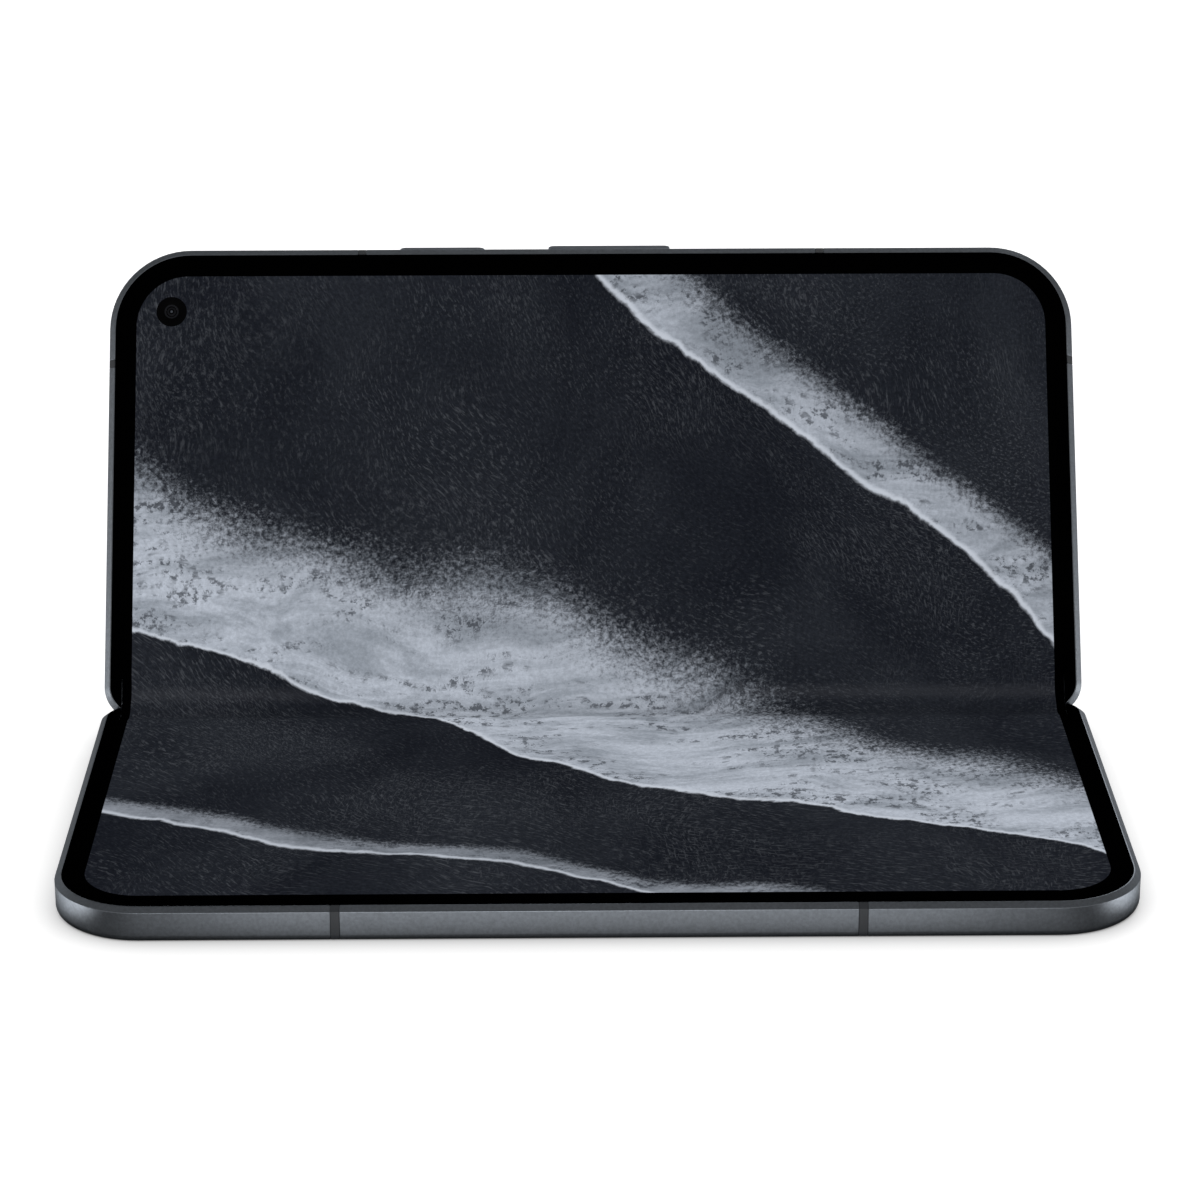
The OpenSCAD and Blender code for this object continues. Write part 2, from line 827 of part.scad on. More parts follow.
// Teeth with straight flanks, narrow enough to leave backlash
module gear_plan(phase) {
    pitch = 360 / gear_teeth;
    marks = [[gear_root, -0.30], [gear_tip, -0.09], [gear_tip, 0.09],
        [gear_root, 0.30]];
    polygon([for (i = [0:gear_teeth - 1], m = marks)
        let (a = phase + pitch * (i + m[1]))
            [m[0] * cos(a), m[0] * sin(a)]]);
}

// Children on a shaft's place, with the shaft's bore through them
module on_shaft(place)
    translate([0, gear_y[place], gear_z]) difference() {
        union() children();
        rotate([0, 90, 0])
            cylinder(r = shaft_r + run_clear, h = 4 * timing_x, center = true);
    }

// Every second gear stands half a tooth on, so that the teeth mesh
module gear(place) along_x(gear_w) gear_plan(place % 2 == 0 ? 0 : 180 / gear_teeth);

// The arm is level with its half, so from the hinge it stands at the fold angle
module timing_arm(place)
    on_shaft(3) {
        gear(place);
        translate([gear_w / 2 - seat_clear, 0, 0]) rotate([0, 90, 0])
            cylinder(r = timing_hub_r, h = arm_w + gap + seat_clear);
        rotate([half_fold, 0, 0])
            box_at(timing_leg_x - arm_w / 2, timing_leg_x + arm_w / 2 - seat_clear,
                shaft_r + run_clear + 0.1, timing_leg_y - gear_y[3], -timing_leg_t, 0);
    }

module lower_timing_arm()
    color(steel) in_spine() rotate([0, 0, 180]) timing_arm(0);
module lower_idler_gear() color(gold) in_spine() on_shaft(1) gear(1);
module upper_idler_gear() color(gold) in_spine() on_shaft(2) gear(2);
module upper_timing_arm() color(steel) in_spine() timing_arm(3);

// The bar under the middle of the fold, on feet that stand on the carriers
bridge_y = 1.3;
bridge_t = 0.25;
module bridge_plate()
    color(steel) in_spine() {
        box_at(-flap_x, flap_x, -bridge_y, bridge_y, mid_top - bridge_t, mid_top);
        for (x = [-carrier_x, carrier_x])
            box_at(x - 0.4, x + 0.4, -bridge_y, bridge_y, carrier_top + gap / 2,
                mid_top - bridge_t + seat_clear);
        both_sides() box_at(timing_x, timing_x + timing_wall, -bridge_y, bridge_y,
            carrier_top, mid_top - bridge_t + seat_clear);
    }

// Flat cables that cross the hinge through the cover
flex_in_x = 6.5;
flex_step = 9.5;
flex_places = [for (i = [0, 1]) port_board_x + flex_in_x + i * flex_step];
flex_w = 8;
flex_t = 0.12;
flex_z = 3.05;

// A point of a half, as it lies in the spine frame
function from_half(y, z) =
    let (dy = y - axis_y, dz = z - axis_z)
    [axis_y + dy * cos(half_fold) - dz * sin(half_fold),
        axis_z + dy * sin(half_fold) + dz * cos(half_fold)];

module flex_plan(t) {
    landing_z = bay_z + board_t + 0.02;
    route = [from_half(bay_y + 2.4, landing_z), from_half(bay_y + 1, landing_z),
        from_half(bay_y + 0.1, flex_z), from_half(foot_y + 1.6, flex_z),
        [axis_y + channel_r + spine_wall / 2, spine_top - 0.25],
        [2.2, 2.2], [0, channel_floor + 0.15]];
    last = len(route) - 1;
    polygon(concat(
        [for (p = route) [p[0], p[1]]],
        [for (i = [last:-1:0]) [route[i][0], route[i][1] + t]]));
}

module hinge_flex()
    color(copper) in_spine() for (x = flex_places)
        translate([x, 0, 0]) along_x(flex_w) {
            flex_plan(flex_t);
            mirror([1, 0]) flex_plan(flex_t);
        }

// ---- Pieces of the hinge that belong to a half ----

// A tongue on the arc about the turning axis, with its leg and foot
module arc_arm()
    difference() {
        union() {
            along_x(arm_w) {
                intersection() {
                    translate([axis_y, axis_z]) difference() {
                        circle(tongue_r2);
                        circle(tongue_r1);
                    }
                    translate([axis_y, axis_z]) polygon([[0, 0],
                        3 * [-cos(30), -sin(30)], 3 * [-cos(30), -1],
                        3 * [cos(52), -1], 3 * [cos(52), -sin(52)]]);
                }
                translate([leg_edge_y, leg_z]) square([foot_y - leg_edge_y + 0.5, leg_t]);
            }
            box_at(-arm_w / 2, arm_w / 2, foot_y, foot_y + foot_l, shelf_z,
                leg_z + leg_t);
        }
        translate([0, screw_y, shelf_z - over]) cylinder(r = screw_r + run_clear,
            h = body_t);
    }

module arc_arms() arm_positions() arc_arm();

module lower_arc_arms() color(steel) in_lower() mirror([1, 0, 0]) arc_arms();
module upper_arc_arms() color(steel) in_upper() arc_arms();

screw_head_r = 0.9;
screw_head_t = 0.3;
module arm_screw()
    translate([0, screw_y, 0]) {
        translate([0, 0, shelf_z - screw_hole_l + gap])
            cylinder(r = screw_r, h = screw_hole_l - gap + leg_z - shelf_z + leg_t);
        translate([0, 0, leg_z + leg_t]) cylinder(r = screw_head_r, h = screw_head_t);
    }

module lower_arm_screws()
    color(steel) in_lower() mirror([1, 0, 0]) arm_positions() arm_screw();
module upper_arm_screws()
    color(steel) in_upper() arm_positions() arm_screw();

// A thin flap that carries the screen near the fold and dips as the phone shuts
module flap()
    translate([0, flap_pivot_y, flap_pin_z]) rotate([flap_tilt, 0, 0])
        translate([0, -flap_pivot_y, -flap_pin_z]) {
            difference() {
                box_at(-flap_x, flap_x, flap_edge_y, flap_pivot_y + 0.2,
                    flap_top - flap_t, flap_top);
                arm_positions() translate([0, flap_edge_y, flap_top])
                    cube([flap_notch_w, 2 * (flap_notch_y - flap_edge_y), 2 * flap_t],
                        center = true);
                translate([timing_leg_x, flap_edge_y, flap_top])
                    cube([flap_notch_w, 2 * (flap_notch_y - flap_edge_y), 2 * flap_t],
                        center = true);
            }
            both_sides() translate([flap_x - 2, flap_pivot_y, flap_pin_z])
                rotate([0, 90, 0]) cylinder(r = flap_pin_r, h = wall_x - flap_x + 2.8);
        }

module lower_flap() color(grey) in_lower() mirror([1, 0, 0]) flap();
module upper_flap() color(grey) in_upper() flap();

// ---- Inside the lower half ----

module cell(x0, x1)
    box_at(x0, x1, bay_y, bay_y1, bay_z, bay_top);

lower_board_x = wall_x - board_gap - lower_board_l;
module lower_battery()
    color(grey) in_lower()
        cell(cover_camera_x + cover_camera_l + cell_gap, lower_board_x - cell_gap);

module lower_board()
    color(green) in_lower()
        box_at(lower_board_x, lower_board_x + lower_board_l, bay_y,
            bay_y + lower_board_w, bay_z, bay_z + board_t);

module receiver()
    color(black) in_lower()
        box_at(-wall_x + gap, cover_camera_x - cover_camera_l / 2 - 3 * gap,
            cover_camera_y - receiver_l / 2, cover_camera_y + receiver_l / 2,
            bay_z, bay_top - 0.3);

motor_l = 13;
motor_w = 9.5;
module haptic_motor()
    color(steel) in_lower() translate([lower_board_x + cell_gap + motor_l / 2,
            bay_y + lower_board_w + cell_gap + motor_w / 2, 0])
        between(bay_z, bay_top) round_plan(motor_l, motor_w, 2);

// A flat box with a through slot for the tray
reader_wall = 0.6;
module card_reader()
    color(steel) in_lower() difference() {
        box_at(wall_x - tray_depth - 1.5, wall_x - gap, tray_y - card_w / 2 - reader_wall,
            tray_y + card_w / 2 + reader_wall, bay_z + board_t, card_z + card_t / 2 + 0.4);
        box_at(wall_x - tray_depth - 0.5, wall_x + over, tray_y - card_w / 2 - gap,
            tray_y + card_w / 2 + gap, card_z - card_t / 2 - gap,
            card_z + card_t / 2 + gap);
    }

tray_head_t = 1.1;
tray_rim = 0.5;
tray_hole_r = 0.35;
module card_tray()
    color(metal) in_lower() difference() {
        union() {
            translate([side_x - tray_head_t, tray_y, card_z]) rotate([90, 0, 90])
                linear_extrude(tray_head_t) slot_plan(tray_l, tray_w);
            box_at(wall_x - tray_depth, side_x - tray_head_t / 2, tray_y - card_w / 2,
                tray_y + card_w / 2, card_z - card_t / 2, card_z + card_t / 2);
        }
        box_at(wall_x - tray_depth + 0.8, wall_x - 1.2, tray_y - card_w / 2 + tray_rim,
            tray_y + card_w / 2 - 2 * tray_rim, card_z - card_t, card_z + card_t);
        translate([side_x - 3, tray_y + tray_l / 2 - 1.2, card_z]) rotate([0, 90, 0])
            cylinder(r = tray_hole_r, h = 3 + over);
    }

// Bars that hold the shut phone closed, in the same place in each half
magnet_in_x = 19.6;
magnet_x = [magnet_in_x - side_x, band_x];
magnet_l = 12;
magnet_w = 1.2;
module magnets()
    for (x = magnet_x)
        box_at(x - magnet_l / 2, x + magnet_l / 2, wall_y - gap - magnet_w,
            wall_y - gap, bay_z, bay_top);

module lower_magnets() color(steel) in_lower() magnets();
module upper_magnets() color(steel) in_upper() magnets();

// ---- Inside the upper half ----

island_top = -island_h;

module lens_places()
    for (i = [-1, 0, 1])
        translate([island_x, island_y + i * lens_pitch, 0]) children();

flash_in_x = 4.2;
flash_r = 1.75;
ring_t = 0.45;
ring_rise = 0.2;
lens_t = 0.6;
barrel_z = island_top + lens_t + gap;
flash_place = [island_x - island_w / 2 + flash_in_x, island_y + lens_pitch / 2];

module camera_island()
    color(metal) in_upper() difference() {
        union() {
            between(island_top, island_top + 0.5) island_way(0.5);
            between(island_top + 0.5, -0.01) island_way(0);
            between(-0.02, glass_t) island_way(island_wall + seat_clear);
        }
        between(island_top + island_floor, body_t) island_way(island_wall + 0.8);
        lens_places() translate([0, 0, island_top - over])
            cylinder(r = lens_r + ring_t + seat_clear, h = island_h + body_t);
        translate([flash_place[0], flash_place[1], island_top - over])
            cylinder(r = flash_r + seat_clear, h = island_h + body_t);
    }

module lens_rings()
    color(steel) in_upper() lens_places() translate([0, 0, island_top - ring_rise])
        difference() {
            cylinder(r = lens_r + ring_t, h = 1.2);
            translate([0, 0, -over]) cylinder(r = lens_r, h = 2 + over);
        }

module lens_windows()
    color(dark_glass) in_upper() lens_places() translate([0, 0, island_top])
        cylinder(r = lens_r - 0.03, h = lens_t);

module camera_module(place, barrel, body)
    in_upper() translate([island_x, island_y + place * lens_pitch, 0]) {
        translate([0, 0, barrel_z])
            cylinder(r = barrel, h = ledge_z + barrel_rise - barrel_z);
        translate([-body / 2, -body / 2, ledge_z + 0.35])
            cube([body, body, bay_top - ledge_z - 0.35]);
    }

main_barrel_r = 4.6;
main_body_l = 12;
module main_camera() color(black) camera_module(0, main_barrel_r, main_body_l);

side_barrel_r = 4;
side_body_l = 10;
module side_cameras()
    color(black) for (place = [-1, 1]) camera_module(place, side_barrel_r, side_body_l);

module flash_lamp()
    color(gold) in_upper() translate([flash_place[0], flash_place[1], island_top])
        cylinder(r = flash_r, h = 1.2);

board_lap = 5;
board_x = island_x + island_w / 2 - board_lap;
upper_cell_x = board_x + main_board_l + cell_gap;
module main_board()
    color(green) in_upper() box_at(board_x, board_x + main_board_l, bay_y,
        bay_y1 - 0.6, bay_z, bay_z + board_t);

can_edge = 1.5;
can_t = 0.2;
can_l = (bay_y1 - 0.6 - bay_y - 3 * can_edge) / 2;
module shield_cans()
    color(steel) in_upper() for (side = [0, 1]) translate([board_x + can_edge,
            bay_y + can_edge + side * (can_l + can_edge), bay_z + board_t])
        difference() {
            cube([main_board_l - 2 * can_edge, can_l, bay_top - bay_z - board_t]);
            translate([can_t, can_t, -over])
                cube([main_board_l - 2 * can_edge - 2 * can_t, can_l - 2 * can_t,
                    bay_top - bay_z - board_t - can_t + over]);
        }

upper_cell_end = port_board_x - cell_gap;
module upper_battery() color(grey) in_upper() cell(upper_cell_x, upper_cell_end);

module charging_coil()
    color(copper) in_upper()
        translate([(upper_cell_x + upper_cell_end) / 2, (bay_y + bay_y1) / 2, ledge_z])
            difference() {
                cylinder(r = coil_r, h = coil_t);
                translate([0, 0, -over]) cylinder(r = coil_bore_r, h = coil_t + 2 * over);
            }
coil_t = 0.35;

module port_board()
    color(green) in_upper() difference() {
        box_at(port_board_x, port_board_x + port_board_l, bay_y,
            port_y + port_l / 2 + 1.4, bay_z, bay_z + board_t);
        box_at(wall_x - port_depth - 2, wall_x, port_y - port_l / 2 - 0.5,
            port_y + port_l / 2 + 0.5, 0, body_t);
    }

module port_way(d, x0, x1)
    translate([x0, port_y, port_z]) rotate([90, 0, 90]) linear_extrude(x1 - x0)
        slot_plan(port_l + 2 * d, port_w + 2 * d);

port_mouth = 0.2;
port_floor = 0.6;
port_tongue_l = 6.7;
port_tongue_t = 0.7;
module charging_port()
    color(steel) in_upper() difference() {
        port_way(port_shell, side_x - port_mouth - port_depth, side_x - port_mouth);
        port_way(0, side_x - port_mouth - port_depth + port_floor, side_x + over);
    }

module port_tongue()
    color(black) in_upper()
        box_at(side_x - port_mouth - port_depth + port_floor, side_x - port_mouth - 1.1,
            port_y - port_tongue_l / 2, port_y + port_tongue_l / 2,
            port_z - port_tongue_t / 2, port_z + port_tongue_t / 2);

snout_l = 3.4;
speaker_w = 15;
module loudspeaker()
    color(black) in_upper() {
        box_at(port_board_x + cell_gap, wall_x - snout_l, speaker_y - speaker_step,
            speaker_y + speaker_w, bay_z, bay_top);
        box_at(wall_x - snout_l, wall_x - gap, speaker_y - speaker_step / 2,
            speaker_y + 4.5 * speaker_step, bay_z + 0.3, bay_top - 0.3);
    }

// A dome switch whose top lies at the depth that its key reaches when pressed
dome_r = 0.9;
module switch_dome(x, top_in)
    translate([x, half_w - top_in, key_z]) rotate([90, 0, 0])
        cylinder(r = dome_r, h = strip_in + seat_clear - top_in);

module key_flex()
    color(copper) in_upper() {
        box_at(power_x - 4, volume_x + volume_l / 2, half_w - strip_in - strip_t,
            half_w - strip_in, bay_z + gap, bay_top - gap);
        switch_dome(power_x, power_flange_in + key_flange_t + key_travel);
        for (side = [-1, 1]) switch_dome(volume_x + side * volume_l * rock_at,
            volume_flange_in + key_flange_t + rock_travel);
    }

// A key: the cap in its slot and the flange that keeps it in
module key_cap(l, rise, flange_in)
    rotate([-90, 0, 0]) {
        translate([0, 0, -flange_in - key_flange_t])
            linear_extrude(flange_in + key_flange_t + rise) slot_plan(l, key_w);
        translate([0, 0, -flange_in - key_flange_t])
            linear_extrude(key_flange_t)
                slot_plan(l + key_flange, key_w + 2 * key_clear);
    }

module power_key()
    color(metal) in_upper() translate([power_x, half_w, key_z])
        key_cap(power_l, power_rise, power_flange_in);

module volume_key()
    color(metal) in_upper() translate([volume_x, half_w, key_z])
        key_cap(volume_l, volume_rise, volume_flange_in);

module inner_camera()
    color(black) in_upper() translate([inner_camera_x, inner_camera_y, 0]) {
        translate([0, 0, bay_top - 0.2])
            cylinder(r = camera_hole_r - 0.35, h = panel_z - bay_top + 0.2);
        translate([-3, -3, bay_z]) cube([6, 6, bay_top - bay_z]);
    }

module inner_camera_window()
    color(black) in_upper() translate([inner_camera_x, inner_camera_y, panel_z])
        cylinder(r = camera_hole_r, h = panel_t);

lower_frame();
lower_antenna_bands();
cover_glass();
cover_display();
cover_camera();
lower_battery();
lower_board();
receiver();
haptic_motor();
card_reader();
card_tray();
lower_magnets();
lower_bezel();
lower_display();
lower_backing_plate();
lower_arc_arms();
lower_arm_screws();
lower_flap();
spine_cover();
spine_end_caps();
arc_carriers();
timing_carrier();
gear_shafts();
friction_springs();
bridge_plate();
display_fold();
hinge_flex();
lower_timing_arm();
lower_idler_gear();
upper_idler_gear();
upper_timing_arm();
upper_frame();
upper_antenna_bands();
back_glass();
camera_island();
lens_windows();
lens_rings();
main_camera();
side_cameras();
flash_lamp();
main_board();
shield_cans();
upper_battery();
charging_coil();
port_board();
charging_port();
port_tongue();
loudspeaker();
key_flex();
power_key();
volume_key();
inner_camera();
inner_camera_window();
upper_magnets();
upper_bezel();
upper_display();
upper_backing_plate();
upper_arc_arms();
upper_arm_screws();
upper_flap();
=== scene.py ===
"""Dresses a folding phone that stands half open: frames, folding screen, hinge, cameras and keys.

Every place is in metres, in the frame of the loaded model: the lower half lies on the
floor, X runs along the hinge and the upper half leans back.
"""

import json
import math
import bmesh
import bpy
from mathutils import Matrix, Vector


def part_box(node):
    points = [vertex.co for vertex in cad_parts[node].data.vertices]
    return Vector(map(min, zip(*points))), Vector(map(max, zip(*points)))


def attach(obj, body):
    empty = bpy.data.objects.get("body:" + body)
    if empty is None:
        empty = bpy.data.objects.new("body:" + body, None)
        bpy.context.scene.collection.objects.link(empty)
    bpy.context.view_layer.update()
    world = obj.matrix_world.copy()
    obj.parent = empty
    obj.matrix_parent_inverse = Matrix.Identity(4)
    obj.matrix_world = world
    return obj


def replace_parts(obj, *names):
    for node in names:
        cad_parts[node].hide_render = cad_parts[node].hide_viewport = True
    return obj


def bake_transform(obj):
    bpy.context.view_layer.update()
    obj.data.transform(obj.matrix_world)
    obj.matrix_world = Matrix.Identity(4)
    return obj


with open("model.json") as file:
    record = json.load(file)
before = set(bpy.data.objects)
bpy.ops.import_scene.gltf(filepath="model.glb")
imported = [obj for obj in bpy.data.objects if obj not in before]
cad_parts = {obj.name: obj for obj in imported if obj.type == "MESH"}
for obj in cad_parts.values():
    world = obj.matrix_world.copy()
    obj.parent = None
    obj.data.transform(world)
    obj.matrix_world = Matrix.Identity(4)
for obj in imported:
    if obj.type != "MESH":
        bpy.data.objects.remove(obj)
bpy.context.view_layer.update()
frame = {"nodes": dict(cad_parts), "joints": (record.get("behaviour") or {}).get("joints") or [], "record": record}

bl_info = {
    "name": "Folding phone",
    "version": (1, 0, 0),
    "blender": (4, 5, 0),
    "location": "3D View > Sidebar > Phone",
    "description": "Finishes a folding phone round its solid model",
    "category": "Object",
}

MM = 0.001
NODES = frame["nodes"]
BODIES = frame["record"]["behaviour"]["bodies"]
NODE_BODY = {node: body for body, members in BODIES.items() for node in members}


# ---- Places ----

# each frame ends this far short of the fold line
FOLD_GAP = 0.1 * MM
FRAME_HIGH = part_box("lower_frame")[1]
FOLD_Y = FRAME_HIGH.y + FOLD_GAP
THICKNESS = FRAME_HIGH.z

# the screen: half its length, its corners, and how far it reaches from the fold line
SCREEN_LOW, SCREEN_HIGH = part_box("lower_display")
PANEL_X = SCREEN_HIGH.x
PANEL_CORNER = 9.65 * MM
PANEL_EDGE = FOLD_Y - SCREEN_LOW.y
PANEL_DEPTH = SCREEN_HIGH.z - SCREEN_LOW.z
BEND_LENGTH = FOLD_Y - SCREEN_HIGH.y

# the hole for the inner camera, and the window in it
CAMERA_HOLE = 2.46 * MM
CAMERA_WINDOW = 2.44 * MM

# the turn about each hinge axis between the flat phone and the standing one
HALF_FOLD = math.radians(30)
SPINE_AXIS = next(Vector(j["pos_m"]) for j in frame["joints"] if j["name"] == "spine_fold")
AXIS_Y = FOLD_Y - SPINE_AXIS.y
AXIS_Z = SPINE_AXIS.z


def turn_about(y, angle):
    """A turn about a line along X at height AXIS_Z."""
    pivot = Vector((0, y, AXIS_Z))
    return Matrix.Translation(pivot) @ Matrix.Rotation(angle, 4, "X") @ Matrix.Translation(-pivot)


MIRROR_Y = Matrix.Scale(-1, 4, (0, 1, 0))
IN_LOWER = Matrix.Translation((0, FOLD_Y, 0)) @ MIRROR_Y
IN_SPINE = Matrix.Translation((0, FOLD_Y, 0)) @ turn_about(-AXIS_Y, HALF_FOLD)
IN_UPPER = IN_SPINE @ turn_about(AXIS_Y, HALF_FOLD)


# ---- Settings that a user may change ----


def colour_prop(name, description, default):
    return bpy.props.FloatVectorProperty(
        name=name, description=description, subtype="COLOR", size=3, min=0, max=1, default=default
    )


def length_prop(name, description, default):
    return bpy.props.FloatProperty(
        name=name, description=description, default=default, min=0, unit="LENGTH", precision=5
    )


class PhoneFinish(bpy.types.PropertyGroup):
    """Colours of the phone"""

    metal: colour_prop("Metal", "Anodised metal of the frames", (0.192, 0.209, 0.231))
    bands: colour_prop("Bands", "Plastic of the antenna bands", (0.038, 0.042, 0.048))
    bezel: colour_prop("Bezel", "Black round the screen", (0.0004, 0.0004, 0.0005))
    back: colour_prop("Back", "Frosted glass of the upper half", (0.045, 0.05, 0.058))
    dark_field: colour_prop("Dark field", "Darkest colour on the screen", (0.0077, 0.0090, 0.0130))
    grey_field: colour_prop("Grey field", "Patches of the dark field", (0.0160, 0.0184, 0.0238))
    stroke: colour_prop("Strokes", "Short strokes on the dark field", (0.085, 0.092, 0.104))
    pale_field: colour_prop("Pale field", "Pale bands of the screen's picture", (0.46, 0.50, 0.57))
    rim: colour_prop("Rim", "Crisp edge of the pale bands", (0.56, 0.60, 0.67))


class PhoneSizes(bpy.types.PropertyGroup):
    """Sizes that only the looks need"""

    screen_x: length_prop("Screen length", "Half the lit screen's length", 73.25 * MM)
    screen_y: length_prop("Screen width", "The lit screen's width on one half", 70.7 * MM)
    screen_r: length_prop("Screen corner", "Radius of the lit screen's corners", 8.3 * MM)
    # the crease's sheen is a painted highlight on the screen, and the same sizes place a painted shade below the
    # fold line
    painted_crease_at: length_prop("Crease", "Distance of the crease's sheen from the fold line", 2.1 * MM)
    painted_crease_width: length_prop("Crease width", "Half the width of the crease's sheen", 2.3 * MM)
    edge_round: length_prop("Edge rounding", "Rounding of the metal's edges", 0.09 * MM)
    glass_round: length_prop("Glass rounding", "Rounding of the glass's edges", 0.12 * MM)


def finish_of():
    return bpy.context.scene.phone_finish


def sizes_of():
    return bpy.context.scene.phone_sizes


# ---- Shader groups ----

FLOAT = "NodeSocketFloat"
COLOUR = "NodeSocketColor"
VECTOR = "NodeSocketVector"


def rgba(colour):
    return tuple(colour)[:3] + (1,)


def shaded(colour, factor):
    return tuple(min(1.0, c * factor) for c in tuple(colour)[:3]) + (1,)


class Tree:
    """A short way to place nodes and links in one node tree."""

    def __init__(self, tree):
        self.tree = tree

    def link(self, value, socket):
        self.tree.links.new(value, socket)

    def add(self, kind, values=(), **settings):
        """A node; its inputs take a link or a constant each."""
        node = self.tree.nodes.new("ShaderNode" + kind)
        for key, value in settings.items():
            setattr(node, key, value)
        for key, value in dict(values).items():
            if isinstance(value, bpy.types.NodeSocket):
                self.link(value, node.inputs[key])
            else:
                node.inputs[key].default_value = value
        return node

    def maths(self, operation, *values, clamp=False):
        return self.add("Math", enumerate(values), operation=operation, use_clamp=clamp).outputs[0]

    def vector_maths(self, operation, *values):
        """Vector maths; a distance, a length and a dot product come out as a number."""
        node = self.add("VectorMath", enumerate(values), operation=operation)
        return node.outputs[1 if operation in ("DISTANCE", "LENGTH", "DOT_PRODUCT") else 0]

    def mix(self, factor, a, b, blend="MIX"):
        a, b = (value if isinstance(value, bpy.types.NodeSocket) else rgba(value) for value in (a, b))
        values = {0: factor, 6: a, 7: b}
        return self.add("Mix", values, data_type="RGBA", blend_type=blend).outputs[2]

    def times(self, colour, value):
        """A colour made brighter or darker by a number."""
        grey = self.add("CombineColor", {0: value, 1: value, 2: value}).outputs[0]
        return self.mix(1.0, colour, grey, "MULTIPLY")

    def smooth(self, value, low, high, to_low=0.0, to_high=1.0):
        """A soft step: to_low where the value is low, to_high where it is high."""
        values = {0: value, 1: low, 2: high, 3: to_low, 4: to_high}
        return self.add("MapRange", values, interpolation_type="SMOOTHSTEP").outputs[0]

    def noise(self, vector, scale, detail=2.0, roughness=0.5, distortion=0.0):
        values = {
            "Vector": vector,
            "Scale": scale,
            "Detail": detail,
            "Roughness": roughness,
            "Distortion": distortion,
        }
        return self.add("TexNoise", values).outputs[0]

    def mapped(self, vector, rotation, scale):
        values = {"Vector": vector, "Rotation": rotation, "Scale": scale}
        return self.add("Mapping", values).outputs[0]

    def split(self, vector):
        return self.add("SeparateXYZ", {0: vector}).outputs

    def place(self):
        """The point in the object's own metres."""
        return self.add("TexCoord").outputs["Object"]


def new_group(name, inputs, outputs):
    tree = bpy.data.node_groups.new(name, "ShaderNodeTree")
    for label, kind, default in inputs:
        socket = tree.interface.new_socket(label, in_out="INPUT", socket_type=kind)
        socket.default_value = default
    for label, kind in outputs:
        tree.interface.new_socket(label, in_out="OUTPUT", socket_type=kind)
    source = tree.nodes.new("NodeGroupInput").outputs
    sink = tree.nodes.new("NodeGroupOutput").inputs
    return Tree(tree), source, sink


def surface_group():
    """Fine grain, and slow clouds of tint and roughness, for any finish."""
    t, given, made = new_group(
        "surface_detail",
        [
            ("Vector", VECTOR, (0, 0, 0)),
            ("Color", COLOUR, (0.5, 0.5, 0.5, 1)),
            ("Tint", COLOUR, (0.4, 0.4, 0.4, 1)),
            ("Roughness", FLOAT, 0.5),
            ("Spread", FLOAT, 0.1),
            ("Grain Scale", FLOAT, 4000),
            ("Grain Amount", FLOAT, 0.3),
            ("Cloud Scale", FLOAT, 60),
        ],
        [("Color", COLOUR), ("Roughness", FLOAT), ("Height", FLOAT)],
    )
    grain = t.noise(given["Vector"], given["Grain Scale"], 3, 0.6)
    cloud = t.smooth(t.noise(given["Vector"], given["Cloud Scale"], 4, 0.55, 0.3), 0.3, 0.7)
    grain_swing = t.maths("SUBTRACT", grain, 0.5)
    cloud_swing = t.maths("SUBTRACT", cloud, 0.5)

    tint_share = t.maths("MULTIPLY", cloud, 0.7)
    shade = t.mix(tint_share, given["Color"], given["Tint"])
    flecks = t.maths("MULTIPLY_ADD", grain_swing, given["Grain Amount"], 1.0)
    t.link(t.times(shade, flecks), made["Color"])

    rough = t.maths("MULTIPLY_ADD", cloud_swing, given["Spread"], given["Roughness"])
    rough = t.maths("MULTIPLY_ADD", grain_swing, given["Spread"], rough, clamp=True)
    t.link(rough, made["Roughness"])
    t.link(grain, made["Height"])
    return t.tree


def brushed_group():
    """Fine lines along one direction, as a brush or a lathe leaves them."""
    t, given, made = new_group(
        "brushed_lines",
        [("Vector", VECTOR, (0, 0, 0)), ("Stretch", VECTOR, (1, 30, 30)), ("Scale", FLOAT, 900)],
        [("Mask", FLOAT)],
    )
    stretched = t.vector_maths("MULTIPLY", given["Vector"], given["Stretch"])
    t.link(t.noise(stretched, given["Scale"], 3, 0.65), made["Mask"])
    return t.tree


# the rim of a pale band lies this far inside its crisp edge, and is this wide to either side
RIM_AT = 0.6 * MM
RIM_WIDTH = 0.8 * MM


